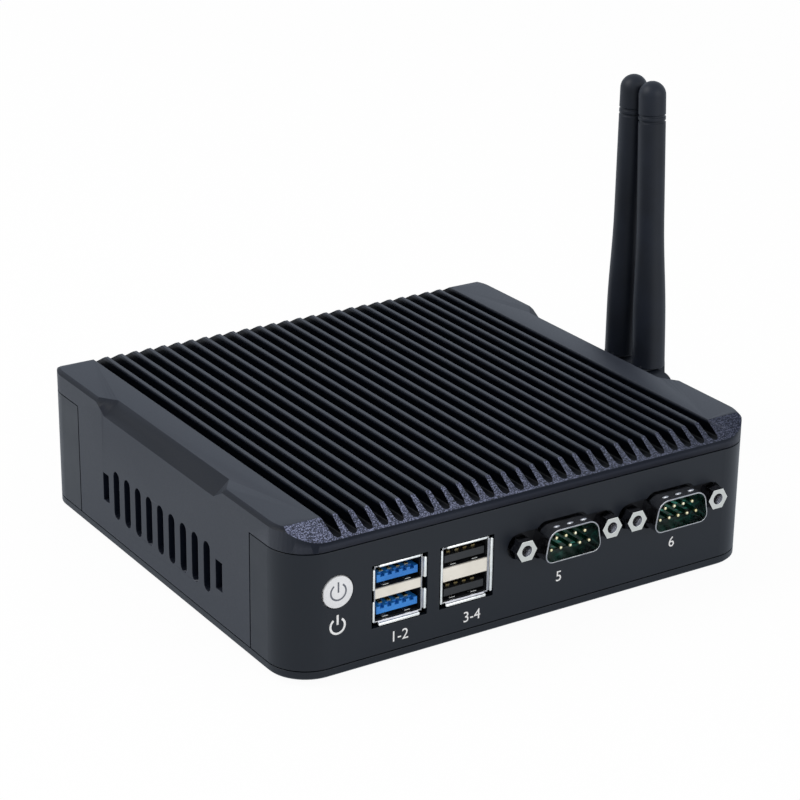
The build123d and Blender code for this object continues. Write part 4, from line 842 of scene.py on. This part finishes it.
class COMPUTER_OT_stacks(bpy.types.Operator):
    """The two socket stacks: plated shells, mouldings, tongues, contacts and springs"""
    bl_idname = "computer.stacks"
    bl_label = "Socket stacks"

    def execute(self, context):
        dress(tinned_steel(), "fast_stack_shell", "slow_stack_shell")
        cream = moulded("natural_nylon", "#ddd8cc", "#ebe6dc", (0.45, 0.6))
        dress(cream, "fast_stack_body", "slow_stack_body")
        dress(moulded("blue_pbt", "#1a6cbc", "#2a82d4", (0.35, 0.5)), "fast_stack_tongues")
        dress(moulded("black_pbt", "#101113", "#191a1c", (0.35, 0.5)), "slow_stack_tongues")
        dress(gold_flash(), "stack_contacts")
        rolled = rolled_tin()
        dark = painted_shade_steel()
        for name, web, split in (("fast", 2.4 * MM, True), ("slow", 3.4 * MM, False)):
            low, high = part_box(f"{name}_stack_shell")
            middle_x, mouth_y = (low[0] + high[0]) / 2, low[1] + 0.7 * MM
            hand_over(self.roll_lips(name, low, high, web, split), rolled, "case", "tin_plate")
            # Painted shade: the liners are steel plates made dark to darken the inside of each port
            hand_over(self.line_ports(name, middle_x, mouth_y, web), dark, "case", "tin_plate")
            hand_over(self.bend_springs(name, middle_x, mouth_y, web), rolled, "case", "tin_plate")
        return {"FINISHED"}

    def roll_lips(self, name, low, high, web, split):
        """The beads that the flared lips end in, each a round bar with domed ends."""
        radius, inset = 0.36 * MM, 0.3 * MM
        y = low[1] + inset
        port = (2 * STACK_HALF - web) / 2
        step = (port + web) / 2
        half = 2.3 * MM if split else 2.3 * MM + step
        heights = (STACK_Z - step, STACK_Z + step) if split else (STACK_Z,)
        bars = [((x, y, z), (0, 0, 1), half) for x in (low[0] + inset, high[0] - inset) for z in heights]
        middle_x = (low[0] + high[0]) / 2
        bars += [((middle_x, y, z), RIGHT, 5.3 * MM) for z in (low[2] + inset, high[2] - 0.2 * MM)]
        beads = []
        for place, along, half in bars:
            rings = [(radius * math.cos(a), -half - radius * math.sin(a)) for a in map(math.radians, (70, 40, 0))]
            rings += [(r, -z) for r, z in reversed(rings)]
            beads.append(stack_rings(f"{name}_bead", rings, facing(place, along), 12))
        return join(f"{name}_lips", *beads)

    def line_ports(self, name, middle_x, mouth_y, web):
        """Thin steel liners over and under the web and against the outer walls."""
        half_width, front, back = 6.2 * MM, mouth_y + 0.5 * MM, mouth_y + 9.3 * MM
        plates = []
        for sign in (-1, 1):
            for root, thick in ((sign * web / 2, sign * LINER), (sign * STACK_HALF, -sign * LINER)):
                z = sorted((STACK_Z + root, STACK_Z + root + thick))
                plates.append(block(
                    "plate", (middle_x - half_width, front, z[0]), (middle_x + half_width, back, z[1])))
            for side in (-1, 1):
                x = sorted((middle_x + side * half_width, middle_x + side * (half_width - LINER)))
                z = sorted((STACK_Z + sign * (web / 2 + LINER), STACK_Z + sign * (STACK_HALF - LINER)))
                plates.append(block("plate", (x[0], front, z[0]), (x[1], back, z[1])))
        liner = join(f"{name}_liners", *plates)
        bevel_edges(liner, lambda a, b: max(a.y, b.y) < mouth_y + 0.6 * MM, 0.04 * MM, 2)
        return finish_mesh(liner)

    def bend_springs(self, name, middle_x, mouth_y, web):
        """Two bent springs on the floor of each port, which grip a plug from below."""
        spring = block(f"{name}_springs", (-0.75 * MM, 0, 0), (0.75 * MM, 2.6 * MM, LINER))
        with edit(spring, "FACE", lambda c, n: n.y > 0.9):
            for rise, run in ((0.1, 0.5), (0.05, 0.6), (-0.15, 1.2)):
                extrude(0, run * MM, rise * MM)
        with edit(spring, "FACE", lambda c, n: n.y < -0.9):
            extrude(0, -0.5 * MM, 0.22 * MM)
        finish_mesh(spring)
        floors = (STACK_Z + web / 2 + LINER, STACK_Z - STACK_HALF + LINER)
        return repeat(spring, [
            (middle_x + x * MM, mouth_y + 1.2 * MM, z) for x in (-3.0, 3.0) for z in floors])


# Nine-pin and rear screw-on ports

def hex_screw(name, centre, outward, thread_pitch):
    """A plated hexagonal screw with a chamfered nose and a threaded hole."""
    flats, length, hole, mouth = 5.0 * MM, 4.8 * MM, 1.42 * MM, -0.35 * MM
    piece = settle(begin(
        name, bpy.ops.mesh.primitive_cylinder_add,
        vertices=6, radius=flats / math.sqrt(3), depth=length, location=(0, 0, -length / 2),
        rotation=(0, 0, math.radians(30))))
    with edit(piece, "FACE", lambda c, n: n.z > 0.9):
        bpy.ops.mesh.inset(thickness=0.35 * MM)
    with edit(piece, "EDGE", lambda a, b: min(a.z, b.z) > -1e-6 and max(a.xy.length, b.xy.length) > flats / 2):
        bpy.ops.transform.translate(value=(0, 0, -0.3 * MM))
    rings = [(hole + 0.25 * MM, 0.1 * MM), (hole, mouth)]
    for k in range(int(3.6 * MM / thread_pitch)):
        rings.append((hole - 0.22 * MM, mouth - (k + 0.5) * thread_pitch))
        rings.append((hole, mouth - (k + 1.0) * thread_pitch))
    cut(piece, stack_rings(f"{name}_bore", rings, sides=32))
    return finish_mesh(settle(piece, facing(centre, outward)), 25)


def fit_screws(name, node, ports_x, face_y, outward, thread_pitch):
    """Hexagonal screws on both sides of each port, in place of a CAD node's."""
    screw = hex_screw(name, (0, face_y, middle(node, 2)), outward, thread_pitch)
    screws = repeat(screw, [(x + side * SCREW_SPACING / 2, 0, 0) for x in ports_x for side in (-1, 1)])
    hand_over(screws, nickel_plated_steel(), "case", "tin_plate", node)


def pins(name, spots, front_y, length):
    """Round contact pins with tapered, rounded tips."""
    radius = 0.5 * MM
    rings = [
        (radius * 0.35, 0), (radius * 0.7, -0.08 * MM), (radius * 0.95, -0.3 * MM),
        (radius, -0.6 * MM), (radius, -length),
    ]
    pin = stack_rings(name, rings, facing((0, front_y, 0), (0, -1, 0)), 16)
    return repeat(pin, [(x, 0, z) for x, z in spots])


D_WIDTH, D_HEIGHT, D_CORNER, D_SHEET = 16.92 * MM, 8.36 * MM, 2.6 * MM, 0.3 * MM
D_LEAN = D_HEIGHT * math.tan(math.radians(10.0))


def d_prism(name, shrink, start_y, end_y):
    """A D-shaped bar along Y with rounded corners, its narrow side up, about the origin."""
    width, height = D_WIDTH - 2 * shrink, D_HEIGHT - 2 * shrink
    piece = begin(name, bpy.ops.mesh.primitive_plane_add, size=1, rotation=(math.radians(90), 0, 0))
    piece.scale = (width, height, 1)
    settle(piece)
    with edit(piece, "VERT", lambda v: v.z > 0):
        bpy.ops.transform.resize(value=((width - 2 * D_LEAN) / width, 1, 1))
        bpy.ops.mesh.select_all(action="SELECT")
        bpy.ops.mesh.bevel(offset=D_CORNER - shrink, segments=10, affect="VERTICES")
        bpy.ops.mesh.select_all(action="SELECT")
        bpy.ops.transform.translate(value=(0, start_y, 0))
        extrude(0, end_y - start_y, 0)
    return finish_mesh(piece)


def d_shell(name, rim_y, face_y):
    """A drawn shell with a rolled rim and three dimples on its flat top."""
    shell = d_prism(name, 0, rim_y, face_y)
    bevel_edges(shell, lambda a, b: max(a.y, b.y) < rim_y + 1e-6, 0.13 * MM)
    cut(shell, d_prism(f"{name}_hollow", D_SHEET, rim_y - MM, face_y + 2 * MM))
    for shift in (-3.9, 0.0, 3.9):
        dimple = begin(
            f"{name}_dimple", bpy.ops.mesh.primitive_uv_sphere_add, segments=20, ring_count=10, radius=0.6 * MM,
            location=(shift * MM, rim_y + 1.9 * MM, D_HEIGHT / 2))
        dimple.scale = (1.6, 0.65, 0.6)
        cut(shell, settle(dimple), "UNION")
    return finish_mesh(shell, 25)


def d_flange(name, face_y, back_y):
    """The flange behind a drawn shell, with its two clinch nuts."""
    half_width, half_height, sheet = 15.4 * MM, 6.25 * MM, 0.8 * MM
    flange = block(name, (-half_width, face_y, -half_height), (half_width, face_y + sheet, half_height))
    bevel_edges(flange, lambda a, b: abs(a.y - b.y) > 1e-6, 0.9 * MM, 4)
    for side in (-1, 1):
        place = facing((side * SCREW_SPACING / 2, face_y + sheet, 0), BACK)
        nut = round_bar(f"{name}_nut", 2.6 * MM, -0.2 * MM, back_y - face_y - sheet, place, 6)
        cut(flange, nut, "UNION")
        cut(flange, round_bar(f"{name}_bore", 1.4 * MM, -1.5 * MM, 4 * MM, place, 24))
    cut(flange, d_prism(f"{name}_hollow", D_SHEET, face_y - MM, face_y + 2 * MM))
    return finish_mesh(flange, 25)


class COMPUTER_OT_nine_pin_ports(bpy.types.Operator):
    """The two nine-pin ports: shells, green mouldings, pins and hexagonal screws"""
    bl_idname = "computer.nine_pin_ports"
    bl_label = "Nine-pin ports"

    def execute(self, context):
        dress(glass_filled_green(), "serial_insulators")
        low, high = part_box("serial_shells")
        face_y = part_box("front_panel")[0][1] + 1.2 * MM
        places = [(x, 0, middle("serial_shells", 2)) for x in NINE_PIN_X]
        shells = repeat(d_shell("nine_pin_shells", low[1], face_y), places)
        hand_over(shells, tinned_steel(), "case", "tin_plate", "serial_shells")
        flanges = repeat(d_flange("nine_pin_flanges", face_y, high[1]), places)
        # Painted shade: the flanges are made dark, as they lie in shade behind the panel
        hand_over(flanges, painted_shade_steel(), "case", "tin_plate")
        low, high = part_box("serial_pins")
        pitch, half_rows, middle_z = 2.77 * MM, 1.42 * MM, middle("serial_pins", 2)
        spots = [
            (x + (k - (count - 1) / 2) * pitch, middle_z + shift)
            for x in NINE_PIN_X for count, shift in ((4, half_rows), (5, -half_rows)) for k in range(count)]
        contacts = pins("nine_pin_contacts", spots, low[1], high[1] - low[1])
        hand_over(contacts, gilt_pins(low[1]), "case", "gilt", "serial_pins")
        node, thread_pitch = "serial_jackscrews", context.scene.computer_ports.thread_pitch
        fit_screws("front_screws", node, NINE_PIN_X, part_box(node)[0][1], FRONT, thread_pitch)
        return {"FINISHED"}


class COMPUTER_OT_rear_ports(bpy.types.Operator):
    """The ports of the rear panel"""
    bl_idname = "computer.rear_ports"
    bl_label = "Rear ports"

    def execute(self, context):
        tin = tinned_steel()
        black = moulded("black_port_pbt", "#111214", "#1a1b1d", (0.35, 0.5))
        dress(tin, "analogue_port_shell", "digital_port_shell", "network_can", "inlet_centre_pin")
        dress(black, "digital_port_insulator", "network_moulding", "headset_jack", "power_inlet")
        dress(moulded("blue_port_pbt", "#1b3f8c", "#24509f", (0.35, 0.5)), "analogue_port_insulator")
        dress(gold_flash(), "network_contacts")
        node, thread_pitch = "analogue_jackscrews", context.scene.computer_ports.thread_pitch
        fit_screws("rear_screws", node, (REAR_PORT_X,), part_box(node)[1][1], BACK, thread_pitch)
        return {"FINISHED"}


# Antennas

class COMPUTER_OT_antennas(bpy.types.Operator):
    """Both antennas: jacks, nuts, knuckles, pins and whips"""
    bl_idname = "computer.antennas"
    bl_label = "Antennas"

    def execute(self, context):
        settings = context.scene.computer_antennas
        elastomer = moulded("antenna_elastomer", "#0d1119", "#131822", (0.42, 0.56), 0.35, 0.3, 0.3)
        steel = nickel_plated_steel(0.08)
        brass = gold_flash()
        for side, y, lean in (("front", 4.5 * MM, 3.4), ("rear", 17.2 * MM, 0.0)):
            dress(steel, f"{side}_hinge_pin")
            dress(brass, f"{side}_antenna_jack")
            nut = self.build_nut(f"{side}_hexagon", y)
            hand_over(nut, elastomer, "case", "antenna_plastic", f"{side}_coupling_nut")
            knuckle = self.build_knuckle(f"{side}_fork", y, math.radians(lean))
            hand_over(knuckle, elastomer, f"{side}_swivel", "antenna_plastic", f"{side}_knuckle")
            whip = self.build_whip(f"{side}_whip_moulding", y, math.radians(lean), settings)
            hand_over(whip, elastomer, f"{side}_antenna", "antenna_plastic", f"{side}_whip")
        dress(steel, "jack_nuts")
        return {"FINISHED"}

    def build_whip(self, name, y, lean, settings):
        """A tapered whip with two rings near its domed tip, on a flat tongue with an eye."""
        start, length = 5.1 * MM, 84.0 * MM
        base, top, chamfer = 4.45 * MM, 3.65 * MM, 0.3 * MM
        rings = [(base - chamfer, start), (base, start + chamfer)]
        # The wall draws in between 18 and 46 mm above the hinge, and runs almost straight from there
        for share in range(9):
            ease = (1 - math.cos(math.pi * share / 8)) / 2
            rings.append((base + (top + 0.05 * MM - base) * ease, (18.0 + 28.0 * share / 8) * MM))
        wall, width, bank = top + 0.02 * MM, 0.7 * MM, 0.12 * MM
        root = wall - settings.groove_depth
        for low in (length - 10.9 * MM, length - 9.4 * MM):
            rings += [(wall, low), (root, low + bank), (root, low + width - bank), (wall, low + width)]
        rings += [
            (max(top * math.cos(a), 0.02 * MM), length - top + top * math.sin(a))
            for a in [math.radians(90 * k / 12) for k in range(13)]
        ]
        up, across = Vector((0, math.sin(lean), math.cos(lean))), Vector(RIGHT)
        turn = Matrix((across, up.cross(across), up)).transposed().to_4x4()
        placing = Matrix.Translation((WALL_X + HINGE_REACH, y, ANTENNA_Z)) @ turn
        rod = stack_rings(name, rings, placing, settings.sides)
        return self.add_tongue(rod, placing, start, base)

    def add_tongue(self, rod, placing, start, base):
        """The flat tongue in the fork: a round eye and the neck above it."""
        sideways, half, side = facing(ORIGIN, FRONT), base - 0.3 * MM, 2.0 * MM
        eye = round_bar("eye", base, -side, side, sideways)
        cut(eye, block("neck", (-half, -side, 0), (half, side, start + 0.8 * MM)), "UNION")
        cut(eye, round_bar("eye_hole", 1.05 * MM, -3.0 * MM, 3.0 * MM, sideways, 32))
        return finish_mesh(join(rod.name, rod, settle(eye, placing)))

    def build_knuckle(self, name, y, lean):
        """The swivelling fork: a collar with two rounded cheeks, the spigot and its retainer."""
        reach, cheek, slot = HINGE_REACH, 4.5 * MM, 4.4 * MM
        start, collar_end = 10.3 * MM, 13.5 * MM
        along, across = facing(ORIGIN, RIGHT), facing((reach, 0, 0), FRONT)
        body = round_bar(name, 4.8 * MM, start, reach + cheek, along, 64)
        bevel_edges(body, lambda a, b: max(a.x, b.x) < start + 1e-6, 0.4 * MM)
        outline = round_bar("outline", cheek, -cheek, cheek, across, 64)
        cut(outline, block("outline_block", (start - MM, -cheek, -cheek), (reach, cheek, cheek)), "UNION")
        cut(body, outline, "INTERSECT")
        cut(body, block("slot", (collar_end, -slot / 2, -2 * cheek), (reach + 2 * cheek, slot / 2, 2 * cheek)))
        cut(body, round_bar("pin_hole", 1.02 * MM, -2 * cheek, 2 * cheek, across, 32))
        retainer, neck, step = 2.95 * MM, 2.5 * MM, 7.9 * MM
        spigot = [(retainer, 7.2 * MM), (retainer, step), (neck, step), (neck, start + 0.1 * MM)]
        cut(body, stack_rings("spigot", spigot, along), "UNION")
        placing = Matrix.Translation((WALL_X, y, ANTENNA_Z)) @ Matrix.Rotation(-lean, 4, "X")
        return finish_mesh(settle(body, placing))

    def build_nut(self, name, y):
        """The coupling nut: a hexagon with its corners turned off at both ends, bored for the jack."""
        start, end, flats, chamfer = 3.0 * MM, 10.2 * MM, 8.0 * MM, 0.5 * MM
        corner, along = flats / math.sqrt(3), facing(ORIGIN, RIGHT)
        nut = round_bar(name, corner, start, end, along, 6)
        turned = [(flats / 2, start), (corner, start + chamfer), (corner, end - chamfer), (flats / 2, end)]
        cut(nut, stack_rings("turned", turned, along, 64), "INTERSECT")
        wide, narrow, step = 3.15 * MM, 2.55 * MM, 8.0 * MM
        bore = [(wide, start - 0.1 * MM), (wide, step), (narrow, step), (narrow, end + 0.1 * MM)]
        cut(nut, stack_rings("bore", bore, along))
        return finish_mesh(settle(nut, Matrix.Translation((WALL_X, y, ANTENNA_Z))), 25)


# Inside

class COMPUTER_OT_inside(bpy.types.Operator):
    """Finishes of the boards, chips and holders inside the case"""
    bl_idname = "computer.inside"
    bl_label = "Inside"

    def execute(self, context):
        dress(green_laminate(), "mainboard", "memory_module", "storage_card", "wireless_card")
        black = moulded("black_socket_nylon", "#131416", "#1c1d20", (0.4, 0.6))
        dress(black, "button_guide", "power_switch", "switch_plunger", "memory_socket", "card_sockets", "cell_holder")
        dress(moulded("chip_epoxy", "#16181a", "#1f2224", (0.45, 0.6), 0.3), "processor")
        dress(moulded("blue_grey_silicone", "#8fa0b2", "#a3b3c3", (0.7, 0.85)), "thermal_pad")
        dress(gold_flash(), "card_posts")
        dress(nickel_plated_steel(), "backup_cell")
        jacket = moulded("lead_jacket", "#17181a", "#202124", (0.4, 0.55))
        dress(jacket, "front_antenna_lead", "rear_antenna_lead")
        return {"FINISHED"}


# Panel and registration

OPERATORS = (
    COMPUTER_OT_stage,
    COMPUTER_OT_case,
    COMPUTER_OT_button,
    COMPUTER_OT_numbers,
    COMPUTER_OT_stacks,
    COMPUTER_OT_nine_pin_ports,
    COMPUTER_OT_rear_ports,
    COMPUTER_OT_antennas,
    COMPUTER_OT_inside,
)
SETTINGS = {
    "computer_coat": CoatSettings,
    "computer_ports": PortSettings,
    "computer_antennas": AntennaSettings,
    "computer_stage": StageSettings,
}


class COMPUTER_PT_pieces(bpy.types.Panel):
    """Lists the pieces in the sidebar"""
    bl_label = "Fanless computer"
    bl_idname = "COMPUTER_PT_pieces"
    bl_space_type = "VIEW_3D"
    bl_region_type = "UI"
    bl_category = "Computer"

    def draw(self, context):
        for name in SETTINGS:
            group = getattr(context.scene, name)
            box = self.layout.box()
            for key in group.__annotations__:
                box.prop(group, key)
        for operator in OPERATORS:
            self.layout.operator(operator.bl_idname)


def register():
    for group in SETTINGS.values():
        bpy.utils.register_class(group)
    for name, group in SETTINGS.items():
        setattr(bpy.types.Scene, name, PointerProperty(type=group))
    for operator in OPERATORS:
        bpy.utils.register_class(operator)
    bpy.utils.register_class(COMPUTER_PT_pieces)


def unregister():
    bpy.utils.unregister_class(COMPUTER_PT_pieces)
    for operator in reversed(OPERATORS):
        bpy.utils.unregister_class(operator)
    for name, group in SETTINGS.items():
        delattr(bpy.types.Scene, name)
        bpy.utils.unregister_class(group)


def main():
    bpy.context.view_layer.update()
    register()
    bpy.ops.computer.stage()
    bpy.ops.computer.case()
    bpy.ops.computer.button()
    bpy.ops.computer.numbers()
    bpy.ops.computer.stacks()
    bpy.ops.computer.nine_pin_ports()
    bpy.ops.computer.rear_ports()
    bpy.ops.computer.antennas()
    bpy.ops.computer.inside()
    drop_selection()


if __name__ == "__main__":
    main()
